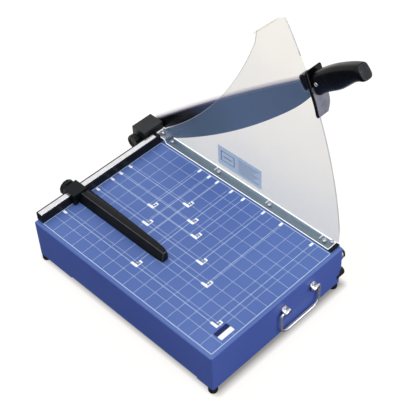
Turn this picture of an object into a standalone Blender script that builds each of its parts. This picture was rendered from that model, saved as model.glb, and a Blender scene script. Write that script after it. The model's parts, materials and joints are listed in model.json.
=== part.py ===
"""Guillotine paper cutter: steel bed, swinging blade lever, clear guard and sliding paper gauge.

Metres, +Z up. Inside the frame empty x = 0 is the cut edge, y = 0 the front face of the back rail
and z = 0 the surface that the feet stand on. The bed lies towards -x and -y, and the operator
stands at -y. On the lever, "reach" is the distance from the pivot towards the grip and "rise" is
the height square to that, both in the lever's own tilted frame.
"""

import math

import bmesh
import bpy
from mathutils import Matrix, Vector

# Fits
SEAT_GAP = 0.0003
BORE_CLEARANCE = 0.00008
SLIDE_CLEARANCE = 0.0004
SCREW_CLEARANCE = 0.0004
OVERRUN = 0.002

# Bed housing, a folded sheet box open below
BED_WIDTH = 0.308
BED_FRONT = 0.407
BED_BACK = 0.0155
BED_DEPTH = 0.080
BED_SHEET = 0.002
FOLD_RADIUS = 0.003
FOOT_STANDOFF = 0.0115
WALL_STEP_DEPTH = 0.0035
WALL_STEP_FRONT = 0.035
WALL_STEP_BACK = 0.083
FOOT_PLATE = 0.034
FOOT_INSET = 0.007
FOOT_RADIUS = 0.008
FOOT_STEM_RADIUS = 0.003
FOOT_BULB_RADIUS = 0.0042
FOOT_BULB_HEIGHT = 0.004

# Fixed knife along the cut edge
KNIFE_THICKNESS = 0.0058
KNIFE_HEIGHT = 0.036
KNIFE_GRIND = 0.0012
KNIFE_SCREW_DEPTH_SHARE = 0.55
KNIFE_SCREW_PLACE_SHARES = (0.1, 0.36, 0.62, 0.86)

# Screws: head radius, head height, shank radius
KNIFE_SCREW_HEAD = 0.0044
KNIFE_SCREW_HEAD_HEIGHT = 0.0026
KNIFE_SCREW_SHANK = 0.0022
PAN_HEAD = 0.0038
PAN_HEAD_HEIGHT = 0.0022
PAN_SHANK = 0.0019
BLOCK_SCREW_HEAD = 0.0065
BLOCK_SCREW_HEAD_HEIGHT = 0.004
BLOCK_SCREW_SHANK = 0.0039
SCREW_GRIP_LENGTH = 0.009

# Back rail and its bright strip
RAIL_LENGTH = 0.276
RAIL_TO_CUT = 0.024
RAIL_DEPTH = 0.0152
RAIL_HEIGHT = 0.017
RAIL_CHAMFER = 0.0006
STRIP_WIDTH = 0.010
STRIP_FRONT = 0.0022
STRIP_THICKNESS = 0.003
STRIP_PROUD = 0.0005
STRIP_LEFT_INSET = 0.001
STRIP_RIGHT_INSET = 0.008
RAIL_SCREW_PLACE_SHARES = (0.2, 0.8)

# Pivot block behind the bed
BLOCK_FRONT = 0.016
BLOCK_THICKNESS = 0.033
BLOCK_WIDTH = 0.046
BLOCK_TO_CUT = 0.002
BLOCK_RISE = 0.0267
BLOCK_DROP = 0.050
BLOCK_FOOT_RADIUS = 0.008
BLOCK_CHAMFER = 0.0012
BLOCK_SCREW_DROPS = (0.015, 0.037)
BLOCK_SCREW_HOLE = 0.014
PIVOT_BACK = 0.032
PIVOT_RISE = 0.007
PIVOT_KNOB_RADIUS = 0.0140
PIVOT_KNOB_WIDTH = 0.016
PIVOT_KNOB_HUB = 0.0085
PIVOT_KNOB_HUB_WIDTH = 0.005
PIVOT_KNOB_WALL = 0.003

# Lever axle, bush and washers
BOLT_RADIUS = 0.005
BOLT_HEAD_RADIUS = 0.0095
BOLT_HEAD_WIDTH = 0.0055
BOLT_SOCKET_RADIUS = 0.0035
BUSH_WALL = 0.002
THRUST_WASHER_RADIUS = 0.013
THRUST_WASHER_WIDTH = 0.0017
DISC_SPRING_RADIUS = 0.011
DISC_SPRING_SHEET = 0.0012
DISC_SPRING_CONE = 0.0007

# Lever: blade, arm and their curves, as reach and rise from the pivot
LEVER_REST_ANGLE = 41.0
LEVER_LOW_ANGLE = 2.5
NOSE_OVERHANG = 0.001
BLADE_GAP = 0.0004
BLADE_THICKNESS = 0.0038
BLADE_LAND = 0.0008
BLADE_GRIND = 0.009
BLADE_HEEL_REACH = 0.018
BLADE_HEEL_DROP = 0.031
BLADE_BELLY_DROP = 0.0505
BLADE_NOSE_DROP = 0.038
BLADE_TOP_BACK = 0.010
BLADE_TOP_MIDDLE = 0.0062
BLADE_TOP_NOSE = -0.0063
BLADE_TAIL_REACH = 0.012
BLADE_TAIL_RISE = 0.005
BLADE_TAIL_DROP = 0.012
BLADE_BELLY_SHARE = 0.455
BLADE_TOP_SHARE = 0.50
ARM_THICKNESS = 0.013
ARM_BOSS_RADIUS = 0.017
ARM_TOP_MIDDLE = 0.0122
ARM_TOP_NOSE = -0.0012
ARM_NOSE_DROP = 0.022
ARM_CROWN_RADIUS = 0.005
BLADE_SCREW_SHARES = (0.12, 0.38, 0.64, 0.9)
BLADE_SCREW_RISE_SHARE = 0.45
BLADE_SCREW_COUNTERBORE = 0.004

# Handle: tang, collar, hand guard and grip
TANG_WIDTH = 0.008
TANG_HEIGHT = 0.013
TANG_TOP_DROP = 0.0085
TANG_LENGTH = 0.120
COLLAR_RISE = 0.003
COLLAR_DROP = 0.023
COLLAR_WALL = 0.0025
COLLAR_FILLET = 0.003
HAND_GUARD_STANDOFF = 0.0283
HAND_GUARD_SHEET = 0.003
HAND_GUARD_TOP = 0.0075
HAND_GUARD_DROP = 0.0665
HAND_GUARD_LEFT = 0.012
HAND_GUARD_RIGHT = 0.0225
HAND_GUARD_LEAN_SHARE = 0.34
HAND_GUARD_CURL = 0.0035
GRIP_LENGTH = 0.104
GRIP_WIDTH = 0.025
GRIP_HEIGHT = 0.040
GRIP_OFFSET = 0.005
GRIP_SCREW_REACH = 0.012
GRIP_SCREW_DROP = 0.0165
GRIP_SCREW_HEAD = 0.003

# Clear guard, bent from one sheet, with a metal strip below its flange
GUARD_SHEET = 0.0024
GUARD_TO_CUT = 0.0011
GUARD_FLANGE_WIDTH = 0.0212
GUARD_TAB_RISE = 0.0098
GUARD_JOGGLE = 0.0075
GUARD_TAB_BACK = 0.0148
GUARD_FRONT_INSET = 0.014
GUARD_NOSE_SHARE = 0.93
PAPER_SLOT = 0.0012
HOLD_STRIP_THICKNESS = 0.0010
HOLD_STRIP_BACK = 0.0115
GUARD_SCREW_PLACES = (0.0180, 0.135, 0.255, 0.377)
GUARD_SCREW_INSET = 0.0105
GUARD_REAR_SCREW_BACK = 0.006
END_CLIP_THICKNESS = 0.005
END_CLIP_INSET = 0.0075
END_CLIP_LEDGE = 0.024
END_CLIP_RISE = 0.0042

# Right side, at the front: blade stop and side bumper
BUFFER_RADIUS = 0.0108
BUFFER_WIDTH = 0.009
BUFFER_INSET = 0.0117
BUFFER_SCREW_RADIUS = 0.0025
BUFFER_HEAD_RADIUS = 0.008
BUFFER_HEAD_WIDTH = 0.0025
SIDE_FOOT_RADIUS = 0.010
SIDE_FOOT_REACH = 0.009
SIDE_FOOT_RISE = 0.016
SIDE_FOOT_INSET = 0.0075

# Sliding paper gauge
GAUGE_PLACE = 0.221
GAUGE_BLOCK_WIDTH = 0.0295
GAUGE_BLOCK_FRONT = 0.0085
GAUGE_BLOCK_WALL = 0.0054
GAUGE_BLOCK_RISE = 0.023
GAUGE_BLOCK_BEVEL = 0.0008
GAUGE_ARM_LENGTH = 0.2050
GAUGE_ARM_LEFT = 0.0045
GAUGE_ARM_RIDGE = 0.002
GAUGE_ARM_SWEEP = 0.024
GAUGE_ARM_HEIGHT = 0.020
GAUGE_TENON_WIDTH = 0.010
GAUGE_TENON_HEIGHT = 0.008
GAUGE_TENON_DEPTH = 0.005
CLAMP_RISE = 0.010
CLAMP_SCREW_RADIUS = 0.003
CLAMP_KNOB_RADIUS = 0.015
CLAMP_KNOB_WIDTH = 0.011
CLAMP_KNOB_HUB = 0.007
CLAMP_KNOB_HUB_WIDTH = 0.0018
CLAMP_KNOB_WALL = 0.0025
CLAMP_SHOE_RADIUS = 0.0045
CLAMP_SHOE_WIDTH = 0.0022

# Carrying handle on the front wall
BAIL_CENTRE = 0.1108
BAIL_HALF_WIDTH = 0.0458
BAIL_DROP = 0.046
BAIL_WIRE_RADIUS = 0.00225
BAIL_CORNER_RADIUS = 0.016
BAIL_BEND_RADIUS = 0.004
BAIL_PIN_LENGTH = 0.018
SADDLE_WIDTH = 0.0135
SADDLE_HEIGHT = 0.022
SADDLE_SHEET = 0.0014
SADDLE_RISE_DROP = 0.029
SADDLE_OUTBOARD_GAP = 0.0008
RIVET_HEAD = 0.0024
RIVET_HEAD_HEIGHT = 0.0013
RIVET_SHANK = 0.0013
RIVET_EDGE = 0.0038

# Facets
ROUND_STEPS = 28
FOOT_STEPS = 20
SMALL_STEPS = 12
KNOB_FLUTES = 12
KNOB_FLUTE_SHARE = 0.035
ARC_POINTS = 14

# Heights and places that follow from the sizes above
TABLE = FOOT_STANDOFF + BED_DEPTH
WALL_X = -(KNIFE_THICKNESS + SEAT_GAP)
KNIFE_FRONT = -(BED_FRONT - END_CLIP_INSET)
PIVOT = (0.0, PIVOT_BACK, TABLE + PIVOT_RISE)
BLADE_REACH = PIVOT_BACK + BED_FRONT + NOSE_OVERHANG
HAND_GUARD_REACH = BLADE_REACH + HAND_GUARD_STANDOFF
BLADE_RIGHT = BLADE_GAP + BLADE_THICKNESS
ARM_LEFT = BLADE_RIGHT + SEAT_GAP
ARM_RIGHT = ARM_LEFT + ARM_THICKNESS
BUSH_RADIUS = BOLT_RADIUS + BORE_CLEARANCE + BUSH_WALL
BLOCK_LEFT = -(BLOCK_TO_CUT + BLOCK_WIDTH)
STRIP_TOP = TABLE + SEAT_GAP + RAIL_HEIGHT + STRIP_PROUD
HOLD_STRIP_Z = TABLE + PAPER_SLOT
FLANGE_Z = HOLD_STRIP_Z + HOLD_STRIP_THICKNESS + SEAT_GAP
TAB_Z = TABLE + GUARD_TAB_RISE
GUARD_RIGHT = -GUARD_TO_CUT
GUARD_LEFT = GUARD_RIGHT - GUARD_FLANGE_WIDTH
FLANGE_FRONT = -(BED_FRONT - GUARD_FRONT_INSET)


def linear(red, green, blue):
    """A colour given as 0 to 255 a channel, as Blender's linear values."""
    return tuple((channel / 255) ** 2.2 for channel in (red, green, blue)) + (1.0,)


def finish(name, colour, roughness, metallic=0.0, alpha=1.0):
    """A Principled material of one colour."""
    made = bpy.data.materials.new(name)
    made.use_nodes = True
    shader = made.node_tree.nodes["Principled BSDF"]
    shader.inputs["Base Color"].default_value = colour
    shader.inputs["Roughness"].default_value = roughness
    shader.inputs["Metallic"].default_value = metallic
    shader.inputs["Alpha"].default_value = alpha
    made.diffuse_color = colour[:3] + (alpha,)
    return made


def clear_scene():
    for thing in list(bpy.data.objects):
        bpy.data.objects.remove(thing)


def collection(name, hidden=False):
    made = bpy.data.collections.new(name)
    bpy.context.scene.collection.children.link(made)
    made.hide_render = hidden
    return made


def hinge(name, place, parent=None, tilt=0.0):
    """An empty that a moving body hangs from, with its origin on the joint's axis."""
    empty = bpy.data.objects.new(name, None)
    PARTS.objects.link(empty)
    empty.location = place
    empty.rotation_euler.x = tilt
    empty.parent = parent
    return empty


def place(name, mesh, paint, parent, at=(0, 0, 0), turn=None, smooth=False):
    """A new object of the cutter from a mesh, flat or, for round pieces, smooth with sharp edges."""
    made = bpy.data.objects.new(name, mesh)
    PARTS.objects.link(made)
    made.parent = parent
    made.location = at
    if turn is not None:
        made.rotation_euler = turn.to_euler()
    if paint is not None:
        mesh.materials.clear()
        mesh.materials.append(paint)
    if smooth:
        mesh.shade_smooth()
        mesh.set_sharp_from_angle(angle=math.radians(35))
    else:
        mesh.shade_flat()
    return made


def as_cutter(made):
    """Moves an object to the cutters, which are neither rendered nor built."""
    PARTS.objects.unlink(made)
    CUTTERS.objects.link(made)
    made.hide_render = True
    made.display_type = "WIRE"
    return made


def baked(made):
    """The object with its modifiers applied and its doubled points welded."""
    graph = bpy.context.evaluated_depsgraph_get()
    mesh = bpy.data.meshes.new_from_object(made.evaluated_get(graph))
    work = bmesh.new()
    work.from_mesh(mesh)
    bmesh.ops.remove_doubles(work, verts=work.verts, dist=1e-6)
    bmesh.ops.recalc_face_normals(work, faces=work.faces)
    work.to_mesh(mesh)
    work.free()
    return mesh


def box_mesh(low, high):
    """A box about its own centre, with that centre."""
    size = [b - a for a, b in zip(low, high)]
    centre = [(a + b) / 2 for a, b in zip(low, high)]
    work = bmesh.new()
    bmesh.ops.create_cube(work, size=1.0, matrix=Matrix.Diagonal((*size, 1.0)))
    mesh = bpy.data.meshes.new("box")
    work.to_mesh(mesh)
    work.free()
    return mesh, centre


def box(name, low, high, paint, parent, bevel=0.0):
    mesh, centre = box_mesh(low, high)
    made = place(name, mesh, paint, parent, centre)
    if bevel:
        soften(made, bevel)
    return made


def soften(made, width, segments=2, angle=30):
    """A Bevel on every edge sharper than the angle."""
    rounded = made.modifiers.new("rounded edges", "BEVEL")
    rounded.width = width
    rounded.segments = segments
    rounded.limit_method = "ANGLE"
    rounded.angle_limit = math.radians(angle)
    return made


FACING = {
    "+X": Matrix.Rotation(math.radians(90), 4, "Y"),
    "-X": Matrix.Rotation(math.radians(-90), 4, "Y"),
    "+Y": Matrix.Rotation(math.radians(-90), 4, "X"),
    "-Y": Matrix.Rotation(math.radians(90), 4, "X"),
    "+Z": Matrix.Identity(4),
    "-Z": Matrix.Rotation(math.radians(180), 4, "X"),
}
SPREAD = {
    "X": Matrix(((0, 0, 1, 0), (1, 0, 0, 0), (0, 1, 0, 0), (0, 0, 0, 1))),
    "Y": Matrix(((1, 0, 0, 0), (0, 0, -1, 0), (0, 1, 0, 0), (0, 0, 0, 1))),
    "Z": Matrix.Identity(4),
}


def turned(name, profile, paint, parent, at, facing, steps=ROUND_STEPS, ring=False):
    """A profile of (radius, height) points turned about its axis.

    The points run from the top, down the outer side, to the bottom. A ring's profile closes on
    itself, and a solid one starts and ends on the axis.
    """
    mesh = bpy.data.meshes.new(name)
    count = len(profile)
    edges = [(i, (i + 1) % count) for i in range(count if ring else count - 1)]
    mesh.from_pydata([(radius, 0, height) for radius, height in profile], edges, [])
    made = place(name, mesh, paint, parent, at, FACING[facing])
    screw = made.modifiers.new("turned", "SCREW")
    screw.axis = "Z"
    screw.angle = math.radians(360)
    screw.steps = steps
    screw.render_steps = steps
    screw.use_merge_vertices = True
    screw.merge_threshold = 1e-6
    mesh = baked(made)
    bpy.data.objects.remove(made)
    return place(name, mesh, paint, parent, at, FACING[facing], smooth=True)


def extruded(name, outline, thickness, along, paint, parent, at):
    """A flat outline given thickness along one axis, centred on the place."""
    curve = bpy.data.curves.new(name, "CURVE")
    curve.dimensions = "2D"
    curve.fill_mode = "BOTH"
    curve.extrude = thickness / 2
    spline = curve.splines.new("POLY")
    spline.points.add(len(outline) - 1)
    for point, (across, up) in zip(spline.points, outline):
        point.co = (across, up, 0, 1)
    spline.use_cyclic_u = True
    flat = bpy.data.objects.new(name, curve)
    PARTS.objects.link(flat)
    mesh = baked(flat)
    bpy.data.objects.remove(flat)
    return place(name, mesh, paint, parent, at, SPREAD[along])


def lofted(name, rings, paint, parent, at=(0, 0, 0)):
    """A skin over rings of as many points each, closed by a flat cap at each end."""
    work = bmesh.new()
    rows = [[work.verts.new(point) for point in ring] for ring in rings]
    count = len(rows[0])
    for first, second in zip(rows, rows[1:]):
        for i in range(count):
            j = (i + 1) % count
            work.faces.new((first[i], first[j], second[j], second[i]))
    work.faces.new(rows[0])
    work.faces.new(rows[-1])
    bmesh.ops.recalc_face_normals(work, faces=work.faces)
    mesh = bpy.data.meshes.new(name)
    work.to_mesh(mesh)
    work.free()
    return place(name, mesh, paint, parent, at, smooth=True)


def cylinder_mesh(radius, length, steps=SMALL_STEPS):
    """A cylinder that stands on its origin."""
    work = bmesh.new()
    bmesh.ops.create_cone(
        work,
        cap_ends=True,
        segments=steps,
        radius1=radius,
        radius2=radius,
        depth=length,
        matrix=Matrix.Translation((0, 0, length / 2)),
    )
    mesh = bpy.data.meshes.new("cylinder")
    work.to_mesh(mesh)
    work.free()
    return mesh


def combine(made, other, operation):
    joined = made.modifiers.new(operation.lower(), "BOOLEAN")
    joined.operation = operation
    joined.object = as_cutter(other)
    return made


def cut_box(made, low, high):
    """Takes a box out of an object, in the frame of its parent."""
    mesh, centre = box_mesh(low, high)
    return combine(made, place("cut", mesh, None, made.parent, centre), "DIFFERENCE")


def drill(made, at, facing, radius, depth, steps=SMALL_STEPS):
    """A round hole whose mouth is at the place, running the depth in the facing direction."""
    mesh = cylinder_mesh(radius, depth + OVERRUN, steps)
    mesh.transform(Matrix.Translation((0, 0, -OVERRUN)))
    cutter = place("hole", mesh, None, made.parent, at, FACING[facing])
    return combine(made, cutter, "DIFFERENCE")


def screw(name, at, facing, head, head_height, shank, length, paint, parent, gap=SEAT_GAP):
    """A pan-headed screw. The place is where its head seats, and it runs in the facing direction."""
    crown = head_height * 0.6
    profile = [
        (0, -gap - head_height),
        (head * 0.75, -gap - head_height),
        (head, -gap - crown),
        (head, -gap),
        (shank, -gap),
        (shank, length),
        (0, length),
    ]
    profile = [(radius, -height) for radius, height in profile]
    opposite = {"+": "-", "-": "+"}[facing[0]] + facing[1]
    return turned(name, profile, paint, parent, at, opposite, SMALL_STEPS)


def pan_screw(name, at, facing, length, parent):
    """A pan-headed screw of the common size."""
    return screw(name, at, facing, PAN_HEAD, PAN_HEAD_HEIGHT, PAN_SHANK, length, BRIGHT_STEEL, parent)


def arc_points(start, middle, end, count=ARC_POINTS):
    """Points from start to end on the circle through three points."""
    centre, radius = circle_through(start, middle, end)
    angles = [math.atan2(y - centre[1], x - centre[0]) for x, y in (start, middle, end)]
    sweep = (angles[2] - angles[0]) % math.tau
    if (angles[1] - angles[0]) % math.tau > sweep:
        sweep -= math.tau
    steps = [angles[0] + sweep * i / (count - 1) for i in range(count)]
    return [(centre[0] + radius * math.cos(a), centre[1] + radius * math.sin(a)) for a in steps]


def circle_through(start, middle, end):
    """Centre and radius of the circle through three points."""
    (ax, ay), (bx, by), (cx, cy) = start, middle, end
    squares = [x * x + y * y for x, y in (start, middle, end)]
    twice_area = 2 * (ax * (by - cy) + bx * (cy - ay) + cx * (ay - by))
    x = (squares[0] * (by - cy) + squares[1] * (cy - ay) + squares[2] * (ay - by)) / twice_area
    y = (squares[0] * (cx - bx) + squares[1] * (ax - cx) + squares[2] * (bx - ax)) / twice_area
    return (x, y), math.hypot(ax - x, ay - y)


def rise_on_arc(start, middle, end, reach):
    """The rise at a reach, on the shallow arc through three points."""
    (x, y), radius = circle_through(start, middle, end)
    side = 1 if middle[1] > y else -1
    return y + side * math.sqrt(radius * radius - (reach - x) ** 2)


def quarter(centre, radius, start, count=5):
    """A quarter circle of points, anticlockwise from a start angle in degrees."""
    angles = [math.radians(start + 90 * i / (count - 1)) for i in range(count)]
    return [(centre[0] + radius * math.cos(a), centre[1] + radius * math.sin(a)) for a in angles]


def bent(points, radii, steps=6):
    """A path through points whose inner corners are arcs of the given radii, in any plane."""
    path = [Vector(points[0])]
    for before, corner, after, radius in zip(points, points[1:], points[2:], radii):
        corner = Vector(corner)
        back = (Vector(before) - corner).normalized()
        ahead = (Vector(after) - corner).normalized()
        half = back.angle(ahead) / 2
        inward = (back + ahead).normalized()
        centre = corner + inward * (radius / math.sin(half))
        first = (corner + back * (radius / math.tan(half)) - centre).normalized()
        last = (corner + ahead * (radius / math.tan(half)) - centre).normalized()
        for i in range(steps + 1):
            path.append(centre + first.slerp(last, i / steps) * radius)
    path.append(Vector(points[-1]))
    return path


def bed_housing():
    """Folded bed: rounded folds above, a recess for the knife, and return plates for the feet.

    In front of the knife the corner keeps a hollow cheek, cut away low down for the side bumper.
    """
    left, front, back = -BED_WIDTH, -BED_FRONT, BED_BACK
    housing = box("base_housing", (left, front, FOOT_STANDOFF), (0, back, TABLE), ENAMEL, FRAME)
    soften(housing, FOLD_RADIUS, 3)
    keep_lower_edges_square(housing)
    cut_box(
        housing,
        (WALL_X, KNIFE_FRONT - SEAT_GAP, FOOT_STANDOFF - OVERRUN),
        (OVERRUN, back - BED_SHEET, TABLE + OVERRUN),
    )
    inner_left, inner_right = left + BED_SHEET, WALL_X - BED_SHEET
    inner_front, inner_back = front + BED_SHEET, back - BED_SHEET
    plate_top = FOOT_STANDOFF + BED_SHEET
    below = FOOT_STANDOFF - OVERRUN
    cut_box(housing, (inner_left, inner_front, plate_top), (inner_right, inner_back, TABLE - BED_SHEET))
    cut_box(
        housing,
        (inner_right - OVERRUN, inner_front, below),
        (-BED_SHEET, KNIFE_FRONT - SEAT_GAP - BED_SHEET, TABLE - BED_SHEET),
    )
    cut_box(
        housing,
        (WALL_X, front - OVERRUN, below),
        (OVERRUN, KNIFE_FRONT, FOOT_STANDOFF + SIDE_FOOT_RISE + SIDE_FOOT_RADIUS + FOLD_RADIUS / 2),
    )
    cut_box(
        housing,
        (inner_left + FOOT_PLATE, inner_front, below),
        (inner_right - FOOT_PLATE, inner_back, plate_top + OVERRUN),
    )
    cut_box(
        housing,
        (inner_left, inner_front + FOOT_PLATE, below),
        (inner_right, inner_back - FOOT_PLATE, plate_top + OVERRUN),
    )
    cut_box(
        housing,
        (left - OVERRUN, front + WALL_STEP_FRONT, below),
        (OVERRUN, back - WALL_STEP_BACK, FOOT_STANDOFF + WALL_STEP_DEPTH),
    )
    return housing


def keep_lower_edges_square(housing):
    """Only folds are rounded: the lower edge of a folded wall is a square cut."""
    mesh = housing.data
    weights = mesh.attributes.new("bevel_weight_edge", "FLOAT", "EDGE")
    for edge in mesh.edges:
        ends = [mesh.vertices[i].co.z for i in edge.vertices]
        weights.data[edge.index].value = 0.0 if max(ends) < 0 else 1.0
    fold = housing.modifiers["rounded edges"]
    fold.limit_method = "WEIGHT"


def push_in_foot(name, at, facing, radius, standoff, sheet, parent):
    """A rubber foot whose stem passes a hole in a sheet and ends in a bulb that holds it there."""
    bulb = sheet + 2 * SEAT_GAP
    profile = [
        (0, bulb + FOOT_BULB_HEIGHT),
        (FOOT_STEM_RADIUS * 0.6, bulb + FOOT_BULB_HEIGHT),
        (FOOT_BULB_RADIUS, bulb + FOOT_BULB_HEIGHT * 0.3),
        (FOOT_BULB_RADIUS, bulb),
        (FOOT_STEM_RADIUS, bulb),
        (FOOT_STEM_RADIUS, 0),
        (radius, 0),
        (radius, -standoff * 0.8),
        (radius * 0.9, -standoff),
        (0, -standoff),
    ]
    return turned(name, profile, RUBBER, parent, at, facing, FOOT_STEPS)


def feet(housing):
    """A foot at each corner, on the return plates."""
    xs = {"left": -BED_WIDTH + FOOT_INSET, "right": WALL_X - FOOT_INSET}
    ys = {"front": -BED_FRONT + FOOT_INSET, "back": BED_BACK - FOOT_INSET}
    for end, y in ys.items():
        for side, x in xs.items():
            drill(housing, (x, y, FOOT_STANDOFF), "+Z", FOOT_STEM_RADIUS + SCREW_CLEARANCE, 2 * BED_SHEET)
            standoff = FOOT_STANDOFF - SEAT_GAP
            at = (x, y, standoff)
            push_in_foot(f"foot_{end}_{side}", at, "+Z", FOOT_RADIUS, standoff, BED_SHEET, FRAME)


def knife(housing):
    """The fixed knife lies in the recess of the right wall, its top edge flush with the bed."""
    front = KNIFE_FRONT
    back = BED_BACK - BED_SHEET - SEAT_GAP
    low = TABLE - KNIFE_HEIGHT
    outline = [
        (-KNIFE_THICKNESS, low),
        (-KNIFE_GRIND, low),
        (0, low + KNIFE_GRIND),
        (0, TABLE),
        (-KNIFE_THICKNESS, TABLE),
    ]
    blade = extruded("lower_knife", outline, back - front, "Y", TOOL_STEEL, FRAME, (0, (front + back) / 2, 0))
    height = TABLE - KNIFE_HEIGHT * KNIFE_SCREW_DEPTH_SHARE
    for number, share in enumerate(KNIFE_SCREW_PLACE_SHARES, 1):
        y = back + (front - back) * share
        seat = -KNIFE_SCREW_HEAD_HEIGHT - 2 * SEAT_GAP
        drill(blade, (0, y, height), "-X", KNIFE_SCREW_HEAD + SCREW_CLEARANCE, -seat)
        drill(blade, (0, y, height), "-X", KNIFE_SCREW_SHANK + SCREW_CLEARANCE, KNIFE_THICKNESS + OVERRUN)
        drill(housing, (WALL_X, y, height), "-X", KNIFE_SCREW_SHANK + SCREW_CLEARANCE, 2 * BED_SHEET)
        screw(
            f"knife_screw_{number}",
            (seat, y, height),
            "-X",
            KNIFE_SCREW_HEAD,
            KNIFE_SCREW_HEAD_HEIGHT,
            KNIFE_SCREW_SHANK,
            SCREW_GRIP_LENGTH,
            BRIGHT_STEEL,
            FRAME,
        )
    return blade


def rail(housing):
    """Back rail with the bright strip let into its top, screwed on from below the bed."""
    right = -RAIL_TO_CUT
    left = right - RAIL_LENGTH
    low = TABLE + SEAT_GAP
    top = low + RAIL_HEIGHT
    groove = top + STRIP_PROUD - STRIP_THICKNESS - SEAT_GAP
    chamfer = RAIL_CHAMFER
    outline = [
        (0, low),
        (RAIL_DEPTH, low),
        (RAIL_DEPTH, top - chamfer),
        (RAIL_DEPTH - chamfer, top),
        (chamfer, top),
        (0, top - chamfer),
    ]
    body = extruded("back_rail", outline, RAIL_LENGTH, "X", BLACK_METAL, FRAME, ((left + right) / 2, 0, 0))
    strip_left, strip_right = left + STRIP_LEFT_INSET, right - STRIP_RIGHT_INSET
    cut_box(
        body,
        (strip_left - SEAT_GAP, STRIP_FRONT - SEAT_GAP, groove),
        (strip_right + SEAT_GAP, STRIP_FRONT + STRIP_WIDTH + SEAT_GAP, top + OVERRUN),
    )
    box(
        "rail_strip",
        (strip_left, STRIP_FRONT, groove + SEAT_GAP),
        (strip_right, STRIP_FRONT + STRIP_WIDTH, top + STRIP_PROUD),
        CHROME,
        FRAME,
        RAIL_CHAMFER,
    )
    under = TABLE - BED_SHEET
    for number, share in enumerate(RAIL_SCREW_PLACE_SHARES, 1):
        at = (left + RAIL_LENGTH * share, RAIL_DEPTH / 2, under)
        drill(housing, at, "+Z", PAN_SHANK + SCREW_CLEARANCE, 2 * BED_SHEET)
        depth = SCREW_GRIP_LENGTH + SEAT_GAP
        drill(body, (at[0], at[1], low), "+Z", PAN_SHANK + SCREW_CLEARANCE, depth - BED_SHEET)
        pan_screw(f"rail_screw_{number}", at, "+Z", SCREW_GRIP_LENGTH, FRAME)
    return body


def pivot_block(housing):
    """Cast bearing block, rounded below, bored for the axle and screwed on through the back wall."""
    right = -BLOCK_TO_CUT
    left = BLOCK_LEFT
    top = TABLE + BLOCK_RISE
    low = TABLE - BLOCK_DROP
    radius = BLOCK_FOOT_RADIUS
    outline = [(left, top), *quarter((left + radius, low + radius), radius, 180)]
    outline += [*quarter((right - radius, low + radius), radius, 270), (right, top)]
    middle = BLOCK_FRONT + BLOCK_THICKNESS / 2
    block = extruded("pivot_block", outline, BLOCK_THICKNESS, "Y", BLACK_METAL, FRAME, (0, middle, 0))
    soften(block, BLOCK_CHAMFER, 1, 40)
    bore = BOLT_RADIUS + BORE_CLEARANCE
    drill(block, (right, PIVOT[1], PIVOT[2]), "-X", bore, BLOCK_WIDTH + OVERRUN, ROUND_STEPS)
    inside = BED_BACK - BED_SHEET
    x = (left + right) / 2
    for number, drop in enumerate(BLOCK_SCREW_DROPS, 1):
        z = TABLE - drop
        drill(housing, (x, inside, z), "+Y", BLOCK_SCREW_SHANK + SCREW_CLEARANCE, 2 * BED_SHEET)
        drill(block, (x, BLOCK_FRONT, z), "+Y", BLOCK_SCREW_SHANK + SCREW_CLEARANCE, BLOCK_SCREW_HOLE)
        screw(
            f"block_screw_{number}",
            (x, inside, z),
            "+Y",
            BLOCK_SCREW_HEAD,
            BLOCK_SCREW_HEAD_HEIGHT,
            BLOCK_SCREW_SHANK,
            BLOCK_SCREW_HOLE,
            BRIGHT_STEEL,
            FRAME,
        )
    return block


def axle():
    """Pivot bolt with its washers: head outside the lever, its other end in the adjusting knob."""
    y, z = PIVOT[1:]
    spring_left = ARM_RIGHT + SEAT_GAP
    spring_right = spring_left + DISC_SPRING_SHEET + DISC_SPRING_CONE
    seat = spring_right + SEAT_GAP
    end = BLOCK_LEFT - PIVOT_KNOB_WIDTH + PIVOT_KNOB_WALL + SEAT_GAP
    head, width = BOLT_HEAD_RADIUS, BOLT_HEAD_WIDTH
    profile = [
        (0, width),
        (head * 0.7, width),
        (head * 0.93, width * 0.75),
        (head, width * 0.4),
        (head, 0),
        (BOLT_RADIUS, 0),
        (BOLT_RADIUS, end - seat + BUSH_WALL / 2),
        (BOLT_RADIUS - BUSH_WALL / 2, end - seat),
        (0, end - seat),
    ]
    bolt = turned("pivot_bolt", profile, BRIGHT_STEEL, FRAME, (seat, y, z), "+X")
    socket = seat + BOLT_HEAD_WIDTH
    drill(bolt, (socket, y, z), "-X", BOLT_SOCKET_RADIUS, BOLT_HEAD_WIDTH * 0.6, 6)
    inner = BOLT_RADIUS + 2 * BORE_CLEARANCE
    cone, sheet = DISC_SPRING_CONE, DISC_SPRING_SHEET
    profile = [(inner, cone + sheet), (DISC_SPRING_RADIUS, sheet), (DISC_SPRING_RADIUS, 0), (inner, cone)]
    turned("disc_spring", profile, BRIGHT_STEEL, FRAME, (spring_left, y, z), "+X", ring=True)
    width = THRUST_WASHER_WIDTH
    profile = [(inner, width), (THRUST_WASHER_RADIUS, width), (THRUST_WASHER_RADIUS, 0), (inner, 0)]
    turned("thrust_washer", profile, BRONZE, FRAME, (-BLOCK_TO_CUT + SEAT_GAP, y, z), "+X", ring=True)


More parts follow.
